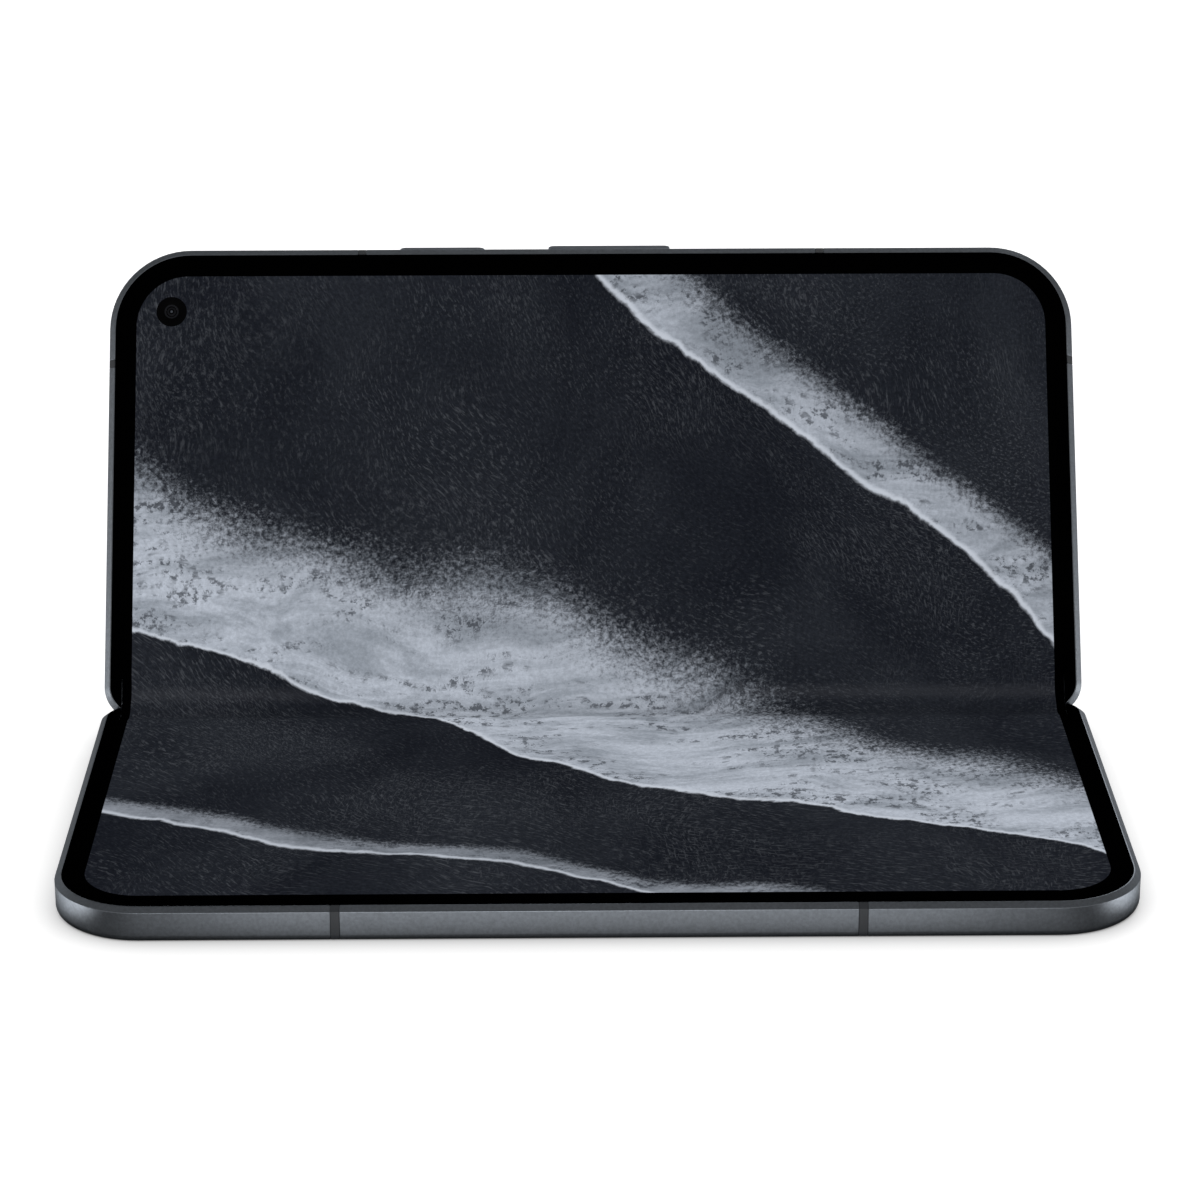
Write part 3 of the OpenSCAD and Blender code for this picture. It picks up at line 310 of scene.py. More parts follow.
def veil_group():
    """A pale band along a bent line: one edge is crisp and has a rim, the other fades out."""
    t, given, made = new_group(
        "pale_veil",
        [
            ("Vector", VECTOR, (0, 0, 0)),
            ("Direction", VECTOR, (1, 0, 0)),
            ("Offset", FLOAT, 0),
            ("Width", FLOAT, 0.01),
            ("Wander", FLOAT, 0.01),
            ("Feather", FLOAT, 0.004),
        ],
        [("Mask", FLOAT), ("Rim", FLOAT)],
    )
    slow = t.maths("SUBTRACT", t.noise(given["Vector"], 14, 1.5, 0.5), 0.5)
    quick = t.maths("SUBTRACT", t.noise(given["Vector"], 110, 6, 0.62, 0.4), 0.5)
    slow_reach = t.maths("MULTIPLY", given["Wander"], 4.0)
    quick_reach = t.maths("MULTIPLY", given["Wander"], 0.42)

    across = t.vector_maths("DOT_PRODUCT", given["Vector"], given["Direction"])
    straight = t.maths("SUBTRACT", across, given["Offset"])
    bent = t.maths("MULTIPLY_ADD", slow, slow_reach, straight)
    ragged = t.maths("MULTIPLY_ADD", quick, quick_reach, bent)

    crisp = t.smooth(ragged, 0.0, RIM_AT)
    faded_at = t.maths("ADD", given["Width"], given["Feather"])
    fade = t.smooth(ragged, given["Width"], faded_at, 1.0, 0.0)
    t.link(t.maths("MULTIPLY", crisp, fade), made["Mask"])

    from_rim = t.maths("ABSOLUTE", t.maths("SUBTRACT", ragged, RIM_AT))
    t.link(t.smooth(from_rim, 0.0, RIM_WIDTH, 1.0, 0.0), made["Rim"])
    return t.tree


GROUP_MAKERS = {
    "surface_detail": surface_group,
    "brushed_lines": brushed_group,
    "pale_veil": veil_group,
}
GROUPS = {}


def placed_group(t, name, values):
    """Outputs of a node that shows a shared group, which is made at its first use."""
    if name not in GROUPS:
        GROUPS[name] = GROUP_MAKERS[name]()
    return t.add("Group", values, node_tree=GROUPS[name]).outputs


# ---- Materials ----

MATERIALS = {}


def start_material(name):
    material = bpy.data.materials.new(name)
    material.use_nodes = True
    MATERIALS[name] = material
    return Tree(material.node_tree), material.node_tree.nodes["Principled BSDF"]


def with_bump(t, shader, height, strength, distance):
    bump = t.add("Bump", {"Strength": strength, "Distance": distance, "Height": height})
    t.link(bump.outputs[0], shader.inputs["Normal"])


def with_detail(t, shader, colour, tint, roughness, spread, grain, amount, cloud):
    """Gives a shader its colour and roughness with grain and clouds, and returns the grain."""
    detail = placed_group(
        t,
        "surface_detail",
        {
            "Vector": t.place(),
            "Color": rgba(colour),
            "Tint": rgba(tint),
            "Roughness": roughness,
            "Spread": spread,
            "Grain Scale": grain,
            "Grain Amount": amount,
            "Cloud Scale": cloud,
        },
    )
    t.link(detail["Color"], shader.inputs["Base Color"])
    t.link(detail["Roughness"], shader.inputs["Roughness"])
    return detail["Height"]


def surface_material(
    name, colour, roughness, metallic=0.0, tint=0.8, spread=0.1, grain=4000, amount=0.3,
    cloud=60, bump=0.15, coat=0.0, sheen=None, edge=None
):
    """A finish made of a colour, its tint, and grain; edge dims a metal where it is seen at a slant."""
    t, shader = start_material(name)
    height = with_detail(t, shader, colour, shaded(colour, tint), roughness, spread, grain, amount, cloud)
    shader.inputs["Metallic"].default_value = metallic
    shader.inputs["Coat Weight"].default_value = coat
    shader.inputs["Coat Roughness"].default_value = 0.05
    if sheen is not None:
        shader.inputs["Specular IOR Level"].default_value = sheen
    if edge is not None:
        shader.inputs["Specular Tint"].default_value = (edge, edge, edge, 1)
    with_bump(t, shader, height, bump, 0.02 * MM)


def brushed_material(name, colour, roughness, stretch):
    """Bare metal with brush lines."""
    t, shader = start_material(name)
    lines = placed_group(t, "brushed_lines", {"Vector": t.place(), "Stretch": stretch, "Scale": 900})["Mask"]
    rough = t.maths("MULTIPLY_ADD", lines, 0.2, roughness - 0.1, clamp=True)
    t.link(t.mix(lines, shaded(colour, 0.75), shaded(colour, 1.15)), shader.inputs["Base Color"])
    t.link(rough, shader.inputs["Roughness"])
    shader.inputs["Metallic"].default_value = 1.0
    with_bump(t, shader, lines, 0.2, 0.01 * MM)


def board_material():
    """Green solder mask with copper tracks and rows of small parts."""
    t, shader = start_material("circuit_board")
    place = t.place()
    cells = t.add("TexVoronoi", {"Vector": place, "Scale": 420.0}, distance="CHEBYCHEV")
    tracks = t.add("TexBrick", {"Vector": place, "Scale": 900.0, "Mortar Size": 0.06})
    parts = t.smooth(cells.outputs["Distance"], 0.28, 0.3, 1.0, 0.0)
    mask = t.mix(tracks.outputs["Fac"], (0.012, 0.075, 0.045), (0.05, 0.16, 0.07))
    t.link(t.mix(parts, mask, (0.05, 0.045, 0.04)), shader.inputs["Base Color"])
    t.link(t.smooth(parts, 0, 1, 0.35, 0.6), shader.inputs["Roughness"])
    with_bump(t, shader, parts, 0.6, 0.1 * MM)


def cell_material():
    """Laminated foil pouch, slightly wrinkled."""
    t, shader = start_material("cell_pouch")
    wrinkle = t.noise(t.place(), 260, 5, 0.6, 1.2)
    t.link(t.mix(wrinkle, (0.05, 0.052, 0.058), (0.11, 0.115, 0.125)), shader.inputs["Base Color"])
    t.link(t.smooth(wrinkle, 0.2, 0.8, 0.3, 0.55), shader.inputs["Roughness"])
    shader.inputs["Metallic"].default_value = 0.6
    with_bump(t, shader, wrinkle, 0.35, 0.1 * MM)


def waves(t, value, pitch):
    """A sine wave along a value, one wave to each pitch."""
    return t.maths("SINE", t.maths("MULTIPLY", value, 2 * math.pi / pitch))


def coil_material():
    """Flat-wound copper wire: turns drawn round the coil's middle."""
    t, shader = start_material("wound_copper")
    low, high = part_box("charging_coil")
    turns = waves(t, t.vector_maths("DISTANCE", t.place(), (low + high) / 2), 0.9 * MM)
    wire = t.mix(t.smooth(turns, -1, 1), (0.16, 0.07, 0.035), (0.62, 0.32, 0.17))
    t.link(wire, shader.inputs["Base Color"])
    t.link(t.smooth(turns, -1, 1, 0.5, 0.28), shader.inputs["Roughness"])
    shader.inputs["Metallic"].default_value = 1.0
    with_bump(t, shader, turns, 0.5, 0.1 * MM)


def flex_material():
    """Amber film over copper tracks."""
    t, shader = start_material("flex_film")
    place = t.place()
    tracks = t.smooth(waves(t, t.split(place)[0], 0.5 * MM), 0.1, 0.4)
    cloud = t.noise(place, 90, 3)
    film = t.mix(cloud, (0.30, 0.14, 0.03), (0.40, 0.21, 0.05))
    t.link(t.mix(tracks, film, (0.52, 0.31, 0.1)), shader.inputs["Base Color"])
    t.link(t.smooth(cloud, 0, 1, 0.25, 0.4), shader.inputs["Roughness"])
    with_bump(t, shader, tracks, 0.3, 0.03 * MM)


def lens_glass_material():
    """Clear coated window of a camera."""
    t, shader = start_material("lens_glass")
    with_detail(
        t, shader, (0.80, 0.84, 0.9), (0.72, 0.78, 0.9),
        roughness=0.03, spread=0.02, grain=3000, amount=0.02, cloud=200,
    )
    shader.inputs["Transmission Weight"].default_value = 1.0
    shader.inputs["IOR"].default_value = 1.45


def lens_rings_of(t, away, rings, ground):
    """Colours by distance from a lens's middle: each ring is (inner, outer, colour)."""
    colour = ground
    soft = 0.03 * MM
    for inner, outer, paint in rings:
        beyond_inner = t.smooth(away, inner - soft, inner + soft)
        within_outer = t.smooth(away, outer - soft, outer + soft, 1.0, 0.0)
        colour = t.mix(t.maths("MULTIPLY", beyond_inner, within_outer), colour, paint)
    return colour


def selfie_material(centre):
    """Black window of the inner camera with the lens's rings and pupil in it, and a painted glint at its middle.
    """
    t, shader = start_material("inner_camera_black")
    place = t.place()
    away = t.vector_maths("DISTANCE", place, centre)
    haze = t.noise(place, 900, 3)
    rings = (
        (0.88 * MM, 1.14 * MM, (0.016, 0.017, 0.02)),
        (0.42 * MM, 0.72 * MM, (0.012, 0.0125, 0.015)),
        # the grey spot at the middle is a painted glint
        (-1 * MM, 0.2 * MM, (0.09, 0.10, 0.12)),
    )
    t.link(lens_rings_of(t, away, rings, (0.0012, 0.0012, 0.0014)), shader.inputs["Base Color"])
    t.link(t.smooth(haze, 0.2, 0.8, 0.12, 0.2), shader.inputs["Roughness"])
    shader.inputs["Specular IOR Level"].default_value = 0.04


def strokes_along_arcs(t, place, centre, length, width):
    """Short strokes that follow circles about a point, as a mask; sizes are in metres."""
    away = t.vector_maths("SUBTRACT", place, centre)
    x, y, _ = t.split(away)
    along = t.maths("MULTIPLY", t.maths("ARCTAN2", y, x), Vector(centre).length / length)
    across = t.maths("DIVIDE", t.vector_maths("LENGTH", away), width)
    rolled = t.add("CombineXYZ", {0: along, 1: across}).outputs[0]
    return t.smooth(t.noise(rolled, 1.0, 3, 0.7, 0.3), 0.50, 0.70)


def dark_stone(t, flat, moved):
    """Dark ground: slow clouds, a fine grain everywhere and strokes in patches."""
    look = finish_of()
    clouds = t.smooth(t.noise(moved, 22, 5, 0.62, 0.6), 0.32, 0.68)
    grain = t.smooth(t.noise(flat, 1700, 3, 0.7), 0.3, 0.75, 0.78, 1.3)
    ground = t.times(t.mix(clouds, look.dark_field, look.grey_field), grain)
    strokes = strokes_along_arcs(t, moved, (0.11, 0.13, 0.0), 1.5 * MM, 0.42 * MM)
    cross = strokes_along_arcs(t, moved, (-0.16, 0.02, 0.0), 1.1 * MM, 0.38 * MM)
    patches = t.smooth(t.noise(moved, 26, 4, 0.6), 0.36, 0.60, 0.22, 1.0)
    others = t.smooth(t.noise(moved, 31, 3, 0.6), 0.46, 0.62, 0.0, 0.9)
    marks = t.maths("MAXIMUM", t.maths("MULTIPLY", strokes, patches), t.maths("MULTIPLY", cross, others))
    return t.mix(t.maths("MULTIPLY", marks, 0.56), ground, look.stroke)


def pale_stone(t, flat, moved, fine):
    """Stone of the seams: streaked, with clusters of dark pits."""
    streaks_at = t.mapped(moved, rotation=(0, 0, 0.5), scale=(1, 3.2, 1))
    streaks = t.smooth(t.noise(streaks_at, 55, 7, 0.66, 0.4), 0.34, 0.62)
    clusters = t.smooth(t.noise(streaks_at, 42, 5, 0.68), 0.46, 0.58)
    pits = t.maths("MULTIPLY", t.smooth(t.noise(flat, 620, 4, 0.75), 0.49, 0.58), clusters)
    pale = t.mix(streaks, (0.27, 0.30, 0.345), finish_of().pale_field)
    pale = t.times(pale, t.smooth(fine, 0.35, 0.68, 0.86, 1.10))
    return t.mix(t.maths("MULTIPLY", pits, 0.85), pale, (0.055, 0.062, 0.075))


# each seam: direction across it, offset, width, wander, feather, strength of the body and of the rim
SEAMS = (
    ((0.46, 0.888, 0), -17.5 * MM, 11.2 * MM, 11.5 * MM, 27.0 * MM, 1.0, 0.8),
    ((0.66, 0.751, 0), 54.0 * MM, 1.2 * MM, 8.5 * MM, 16.0 * MM, 0.85, 0.8),
    ((0.288, 0.957, 0), -63.5 * MM, 0.2 * MM, 8.5 * MM, 9.0 * MM, 0.55, 0.7),
)


def picture(t, flat):
    """A made-up slab of dark stone: short strokes on slow arcs, and pale seams that cross it."""
    swirl = t.add("TexNoise", {"Vector": flat, "Scale": 12.0, "Detail": 3.0}).outputs[1]
    swept = t.vector_maths("MULTIPLY", swirl, (0.05, 0.05, 0.0))
    moved = t.vector_maths("ADD", flat, swept)
    fine = t.noise(flat, 1250, 4, 0.78)
    colour = dark_stone(t, flat, moved)
    pale = pale_stone(t, flat, moved, fine)
    rim_colour = finish_of().rim
    for direction, offset, width, wander, feather, strength, rim in SEAMS:
        seam = placed_group(
            t,
            "pale_veil",
            {
                "Vector": flat,
                "Direction": direction,
                "Offset": offset,
                "Width": width,
                "Wander": wander,
                "Feather": feather,
            },
        )
        # the fading side thins out into specks
        specks = t.maths("MULTIPLY_ADD", fine, 1.9, -1.55)
        body = t.smooth(t.maths("MULTIPLY_ADD", seam["Mask"], 1.55, specks), -0.25, 0.55)
        broken = t.maths("MULTIPLY", body, t.maths("POWER", seam["Mask"], 0.55))
        colour = t.mix(t.maths("MULTIPLY", broken, strength), colour, pale)
        colour = t.mix(t.maths("MULTIPLY", seam["Rim"], rim), colour, rim_colour)
    return colour


def wallpaper_material():
    """The lit screen with its picture inside a black border.

    The pattern reads the flat map of the screen, in metres: u along the hinge, v from the
    fold line, negative on the lower half.
    """
    size = sizes_of()
    t, shader = start_material("lit_screen")
    flat = t.add("UVMap", uv_map="flat").outputs[0]
    u, v = t.split(flat)[:2]

    # the lit part is a rectangle with round corners; the rest of the panel is black
    squares = []
    for value, half in ((u, size.screen_x), (v, size.screen_y)):
        over = t.maths("SUBTRACT", t.maths("ABSOLUTE", value), half - size.screen_r)
        squares.append(t.maths("POWER", t.maths("MAXIMUM", over, 0.0), 2.0))
    far = t.maths("SQRT", t.maths("ADD", *squares))
    soft = 0.04 * MM
    lit = t.smooth(far, size.screen_r - soft, size.screen_r + soft, 1.0, 0.0)

    # the crease: a soft painted highlight just above the fold line, and a faint painted shade over the picture
    # just below it
    from_painted_highlight = t.maths("ABSOLUTE", t.maths("SUBTRACT", v, size.painted_crease_at))
    from_painted_shade = t.maths("ABSOLUTE", t.maths("ADD", v, 1.2 * size.painted_crease_at))
    sheen = t.smooth(from_painted_highlight, 0.0, size.painted_crease_width, 1.0, 0.0)
    shade = t.smooth(from_painted_shade, 0.0, 2 * size.painted_crease_width, 0.82, 1.0)
    # the picture is darkened by the crease's painted shade
    t.link(t.mix(lit, (0, 0, 0), t.times(picture(t, flat), shade)), shader.inputs["Emission Color"])
    shader.inputs["Emission Strength"].default_value = 1.0

    film = t.noise(flat, 700, 3)
    black = t.mix(film, (0.0003, 0.0003, 0.0004), (0.0006, 0.0006, 0.0007))
    # the black film is lifted by the crease's painted highlight
    black_with_painted_highlight = t.mix(t.maths("MULTIPLY", sheen, lit), black, (0.021, 0.021, 0.0225))
    t.link(black_with_painted_highlight, shader.inputs["Base Color"])
    t.link(t.smooth(film, 0.2, 0.8, 0.16, 0.22), shader.inputs["Roughness"])
    shader.inputs["Specular IOR Level"].default_value = 0.0


def make_materials():
    look = finish_of()
    light_metal = shaded(look.metal, 1.1)
    surface_material(
        "anodised_metal", look.metal, 0.35, 0.9,
        tint=0.95, spread=0.06, grain=2300, amount=0.65, cloud=40, bump=0.3, edge=0.3,
    )
    surface_material(
        "key_metal", light_metal, 0.4, 0.9,
        tint=0.95, spread=0.06, grain=3200, amount=0.3, cloud=60, bump=0.2, edge=0.4,
    )
    surface_material("antenna_plastic", look.bands, 0.5, tint=0.9, grain=4200, amount=0.2, bump=0.1)
    surface_material("bezel_black", look.bezel, 0.5, grain=3500, amount=0.2, bump=0.08, sheen=0.0)
    surface_material(
        "back_frosted", look.back, 0.38,
        tint=0.94, spread=0.05, grain=6000, amount=0.16, cloud=25, bump=0.06, coat=0.25,
    )
    surface_material(
        "cover_black", (0.006, 0.0065, 0.008), 0.07,
        tint=0.9, spread=0.03, grain=2500, amount=0.1, cloud=20, bump=0.01, coat=0.6,
    )
    surface_material(
        "cable_black", (0.011, 0.011, 0.012), 0.45, tint=0.85, grain=3000, amount=0.2, bump=0.05
    )
    surface_material(
        "hinge_metal", light_metal, 0.26, 1.0,
        tint=0.92, spread=0.08, grain=5000, amount=0.16, cloud=50, bump=0.06,
    )
    surface_material("magnet_nickel", (0.62, 0.61, 0.58), 0.25, 1.0, grain=2500, amount=0.15)
    surface_material("gear_brass", (0.62, 0.45, 0.19), 0.3, 1.0, grain=3200, amount=0.15)
    surface_material("camera_black", (0.012, 0.012, 0.013), 0.42, grain=4200, amount=0.25, bump=0.1)
    surface_material(
        "speaker_black", (0.018, 0.018, 0.019), 0.6, tint=0.85, grain=3000, amount=0.3, bump=0.2
    )
    surface_material(
        "cover_panel", (0.004, 0.004, 0.005), 0.2, tint=0.85, grain=3000, amount=0.1, bump=0.02
    )
    surface_material(
        "lamp_lens", (0.80, 0.66, 0.30), 0.18, tint=0.85, grain=2600, amount=0.12, bump=0.3, coat=0.5
    )
    brushed_material("steel_long", (0.56, 0.57, 0.59), 0.33, (1, 40, 40))
    brushed_material("steel_turned", (0.60, 0.61, 0.63), 0.28, (60, 4, 4))
    brushed_material("lens_trim", (0.20, 0.21, 0.23), 0.24, (30, 30, 3))
    board_material()
    cell_material()
    coil_material()
    flex_material()
    lens_glass_material()
    wallpaper_material()


# ---- Mesh helpers ----


def add_piece(name, mesh, material, body=None):
    """Puts a mesh in the scene as a piece; body is left out where the piece bends."""
    piece = bpy.data.objects.new(name, mesh)
    bpy.context.scene.collection.objects.link(piece)
    mesh.materials.clear()
    mesh.materials.append(MATERIALS[material])
    if body:
        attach(piece, body)
    return piece


def solid_of(node):
    """A solid's mesh with its doubled points merged."""
    bm = bmesh.new()
    bm.from_mesh(NODES[node].data)
    bmesh.ops.remove_doubles(bm, verts=bm.verts, dist=2e-7)
    return bm


def mesh_from(bm, name, smooth_angle=35):
    """A mesh that is smooth across edges up to an angle in degrees."""
    bmesh.ops.remove_doubles(bm, verts=bm.verts, dist=1e-7)
    bmesh.ops.recalc_face_normals(bm, faces=bm.faces)
    mesh = bpy.data.meshes.new(name)
    bm.to_mesh(mesh)
    bm.free()
    for polygon in mesh.polygons:
        polygon.use_smooth = True
    mesh.set_sharp_from_angle(angle=math.radians(smooth_angle))
    return mesh


def soft_copy(node, material, round_by):
    """A merged copy of a solid's mesh with its edges rounded, shown in the solid's place."""
    bm = solid_of(node)
    bmesh.ops.dissolve_limit(
        bm, angle_limit=math.radians(0.4), verts=bm.verts, edges=bm.edges, use_dissolve_boundaries=False
    )
    name = node + "_skin"
    piece = add_piece(name, mesh_from(bm, name), material, NODE_BODY[node])
    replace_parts(piece, node)
    bevel = piece.modifiers.new("round", "BEVEL")
    bevel.width = round_by
    bevel.segments = 3
    bevel.limit_method = "ANGLE"
    bevel.angle_limit = math.radians(28)
    bevel.use_clamp_overlap = False
    bevel.miter_outer = "MITER_ARC"
    weighted = piece.modifiers.new("normals", "WEIGHTED_NORMAL")
    weighted.keep_sharp = True
    weighted.weight = 80


def dress(node, material):
    """Gives a solid that stays in view its finish."""
    mesh = NODES[node].data
    mesh.materials.clear()
    mesh.materials.append(MATERIALS[material])


def arc_of(bm, start, centre, steps):
    """Spins a point through a quarter turn about a line along Z; returns its first and last vertex."""
    first = bm.verts.new(start)
    made = bmesh.ops.spin(
        bm, geom=[first], cent=centre, axis=(0, 0, 1), angle=math.pi / 2, steps=steps, use_merge=False
    )
    return first, made["geom_last"][0]


def free_plan(bm, x, y0, y1, r, z, steps=28):
    """A face in the plane z: a rectangle whose two corners at y1 are round."""
    right_start, right_end = arc_of(bm, (x, y1 - r, z), (x - r, y1 - r, z), steps)
    left_start, left_end = arc_of(bm, (r - x, y1, z), (r - x, y1 - r, z), steps)
    low_left, low_right = bm.verts.new((-x, y0, z)), bm.verts.new((x, y0, z))
    chain = (right_end, left_start), (left_end, low_left), (low_left, low_right), (low_right, right_start)
    for pair in chain:
        bm.edges.new(pair)
    return bmesh.ops.contextual_create(bm, geom=bm.edges[:])["faces"]


def thicken(bm, faces, depth):
    """Extrudes flat faces down by depth into a closed slab."""
    made = bmesh.ops.extrude_face_region(bm, geom=faces, use_keep_orig=True)
    verts = [g for g in made["geom"] if isinstance(g, bmesh.types.BMVert)]
    bmesh.ops.translate(bm, verts=verts, vec=(0, 0, -depth))


def map_flat(bm, sign):
    """Writes the flat map: u along the hinge, v from the fold line, before the piece is placed."""
    layer = bm.loops.layers.uv.new("flat")
    for face in bm.faces:
        for loop in face.loops:
            loop[layer].uv = (loop.vert.co.x, sign * loop.vert.co.y)


def spun(profile, steps=64):
    """A turned piece: a profile of (radius, height) points spun about Z."""
    bm = bmesh.new()
    verts = [bm.verts.new((r, 0, z)) for r, z in profile]
    edges = [bm.edges.new(pair) for pair in zip(verts, verts[1:])]
    bmesh.ops.spin(
        bm, geom=verts + edges, cent=(0, 0, 0), axis=(0, 0, 1), angle=2 * math.pi, steps=steps, use_merge=True
    )
    return bm


# ---- Screen and hinge cables ----


def bent_point(y, z):
    """Where a point of the bending stretch lies in the spine's frame; y is its flat distance."""
    share = min(1.0, abs(y) / BEND_LENGTH)
    turn = HALF_FOLD * share * share * (3 - 2 * share)
    dy, dz = abs(y) - AXIS_Y, z - AXIS_Z
    return (
        AXIS_Y + dy * math.cos(turn) - dz * math.sin(turn),
        AXIS_Z + dy * math.sin(turn) + dz * math.cos(turn),
    )


def flat_screen(half, place, sign):
    """The flat part of the screen on one half, as a slab."""
    bm = bmesh.new()
    faces = free_plan(bm, PANEL_X, BEND_LENGTH, PANEL_EDGE, PANEL_CORNER, THICKNESS)
    if half == "upper":
        faces = camera_hole(bm)
    thicken(bm, faces, PANEL_DEPTH)
    map_flat(bm, sign)
    bmesh.ops.transform(bm, matrix=place, verts=bm.verts)
    piece = add_piece(half + "_screen", mesh_from(bm, half + "_screen"), "lit_screen", half + "_half")
    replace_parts(piece, half + "_display")


def camera_hole(bm):
    """Opens the round hole for the inner camera in the screen's face."""
    middle = Matrix.Translation((*selfie_centre(), THICKNESS))
    circle = bmesh.ops.create_circle(bm, segments=64, radius=CAMERA_HOLE, matrix=middle)["verts"]
    loop = {e for v in circle for e in v.link_edges}
    outline = [e for e in bm.edges if e not in loop]
    for face in bm.faces[:]:
        bm.faces.remove(face)
    filled = bmesh.ops.triangle_fill(bm, use_beauty=True, use_dissolve=False, edges=outline + list(loop))
    return [g for g in filled["geom"] if isinstance(g, bmesh.types.BMFace)]


def selfie_centre():
    """Middle of the inner camera in the upper half's own frame."""
    low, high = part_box("inner_camera_window")
    middle = IN_UPPER.inverted() @ ((low + high) / 2)
    return middle.x, middle.y


def fold_screen(half, sign):
    """One side of the bending stretch, shaped as it stands in the half-open phone."""
    bm = bmesh.new()
    bmesh.ops.create_grid(
        bm, x_segments=40, y_segments=36, size=0.5,
        matrix=Matrix.Diagonal((2 * PANEL_X, BEND_LENGTH, 1, 1)) @ Matrix.Translation((0, 0.5, 0)),
    )
    for vert in bm.verts:
        vert.co.z = THICKNESS
    thicken(bm, bm.faces[:], PANEL_DEPTH)
    map_flat(bm, sign)
    for vert in bm.verts:
        y, z = bent_point(vert.co.y, vert.co.z)
        vert.co.y, vert.co.z = sign * y, z
    bmesh.ops.transform(bm, matrix=IN_SPINE, verts=bm.verts)
    name = half + "_screen_fold"
    piece = add_piece(name, mesh_from(bm, name, 60), "lit_screen")
    y, z = bent_point(BEND_LENGTH, THICKNESS)
    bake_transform(piece)
    return piece


def hinge_cable(half, sign):
    """One side of the cables across the hinge, cut from the solid at the spine's middle."""
    bm = solid_of("hinge_flex")
    bmesh.ops.bisect_plane(
        bm, geom=bm.verts[:] + bm.edges[:] + bm.faces[:], plane_co=IN_SPINE @ Vector((0, 0, 0)),
        plane_no=IN_SPINE.to_3x3() @ Vector((0, -sign, 0)), clear_outer=True,
    )
    bmesh.ops.holes_fill(bm, edges=[edge for edge in bm.edges if edge.is_boundary])
    name = half + "_hinge_cable"
    piece = add_piece(name, mesh_from(bm, name, 20), "cable_black")
    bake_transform(piece)
    return piece


def inner_camera():
    """The window over the inner camera: a flush black disc with the lens seen in it."""
    round_by = 0.03 * MM
    lens_radius, lens_rise, lens_foot = 0.74 * MM, 0.07 * MM, -0.09 * MM
    profile = [
        # the disc's edge
        (CAMERA_WINDOW, -0.48 * MM), (CAMERA_WINDOW, -round_by), (CAMERA_WINDOW - round_by, 0),
        # the step down to the lens
        (1.16 * MM, 0), (1.1 * MM, -0.015 * MM), (0.9 * MM, -0.02 * MM), (0.82 * MM, lens_foot),
    ]
    profile += [
        (lens_radius * math.cos(a), lens_foot + lens_rise * math.sin(a)) for a in (0, 0.4, 0.8, 1.2)
    ]
    profile += [(0.0, -0.015 * MM)]
    bm = spun(profile)
    place = IN_UPPER @ Matrix.Translation((*selfie_centre(), THICKNESS))
    bmesh.ops.transform(bm, matrix=place, verts=bm.verts)
    selfie_material(place.translation)
    name = "inner_camera_disc"
    piece = add_piece(name, mesh_from(bm, name), "inner_camera_black", "upper_half")
    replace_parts(piece, "inner_camera_window")


# ---- Operators ----


class PHONE_OT_finishes(bpy.types.Operator):
    """Make every finish"""

    bl_idname = "phone.finishes"
    bl_label = "Finishes"

    def execute(self, context):
        make_materials()
        return {"FINISHED"}


class PHONE_OT_frames(bpy.types.Operator):
    """Frames of both halves with their antenna bands, keys and card tray"""

    bl_idname = "phone.frames"
    bl_label = "Frames"

    def execute(self, context):
        size = sizes_of()
        for node in ("lower_frame", "upper_frame"):
            soft_copy(node, "anodised_metal", size.edge_round)
        for node in ("lower_antenna_bands", "upper_antenna_bands"):
            soft_copy(node, "antenna_plastic", size.edge_round)
        for node in ("power_key", "volume_key"):
            soft_copy(node, "key_metal", 0.14 * MM)
        soft_copy("card_tray", "anodised_metal", 0.06 * MM)
        for node in ("lower_bezel", "upper_bezel"):
            soft_copy(node, "bezel_black", 0.02 * MM)
        return {"FINISHED"}


class PHONE_OT_screen(bpy.types.Operator):
    """Folding screen with its picture and the inner camera"""

    bl_idname = "phone.screen"
    bl_label = "Screen"

    def execute(self, context):
        flat_screen("lower", IN_LOWER, -1)
        flat_screen("upper", IN_UPPER, 1)
        fold_screen("lower", -1)
        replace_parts(fold_screen("upper", 1), "display_fold")
        inner_camera()
        return {"FINISHED"}


class PHONE_OT_outside(bpy.types.Operator):
    """Outer glass, camera island and hinge cover"""

    bl_idname = "phone.outside"
    bl_label = "Outer glass, cameras and hinge cover"

    def execute(self, context):
        size = sizes_of()
        soft_copy("cover_glass", "cover_black", size.glass_round)
        soft_copy("back_glass", "back_frosted", size.glass_round)
        soft_copy("camera_island", "anodised_metal", 0.15 * MM)
        soft_copy("lens_rings", "lens_trim", 0.08 * MM)
        soft_copy("lens_windows", "lens_glass", 0.05 * MM)
        soft_copy("flash_lamp", "lamp_lens", 0.08 * MM)
        soft_copy("spine_cover", "hinge_metal", 0.04 * MM)
        soft_copy("spine_end_caps", "hinge_metal", 0.04 * MM)
        soft_copy("charging_port", "steel_long", 0.03 * MM)
        return {"FINISHED"}


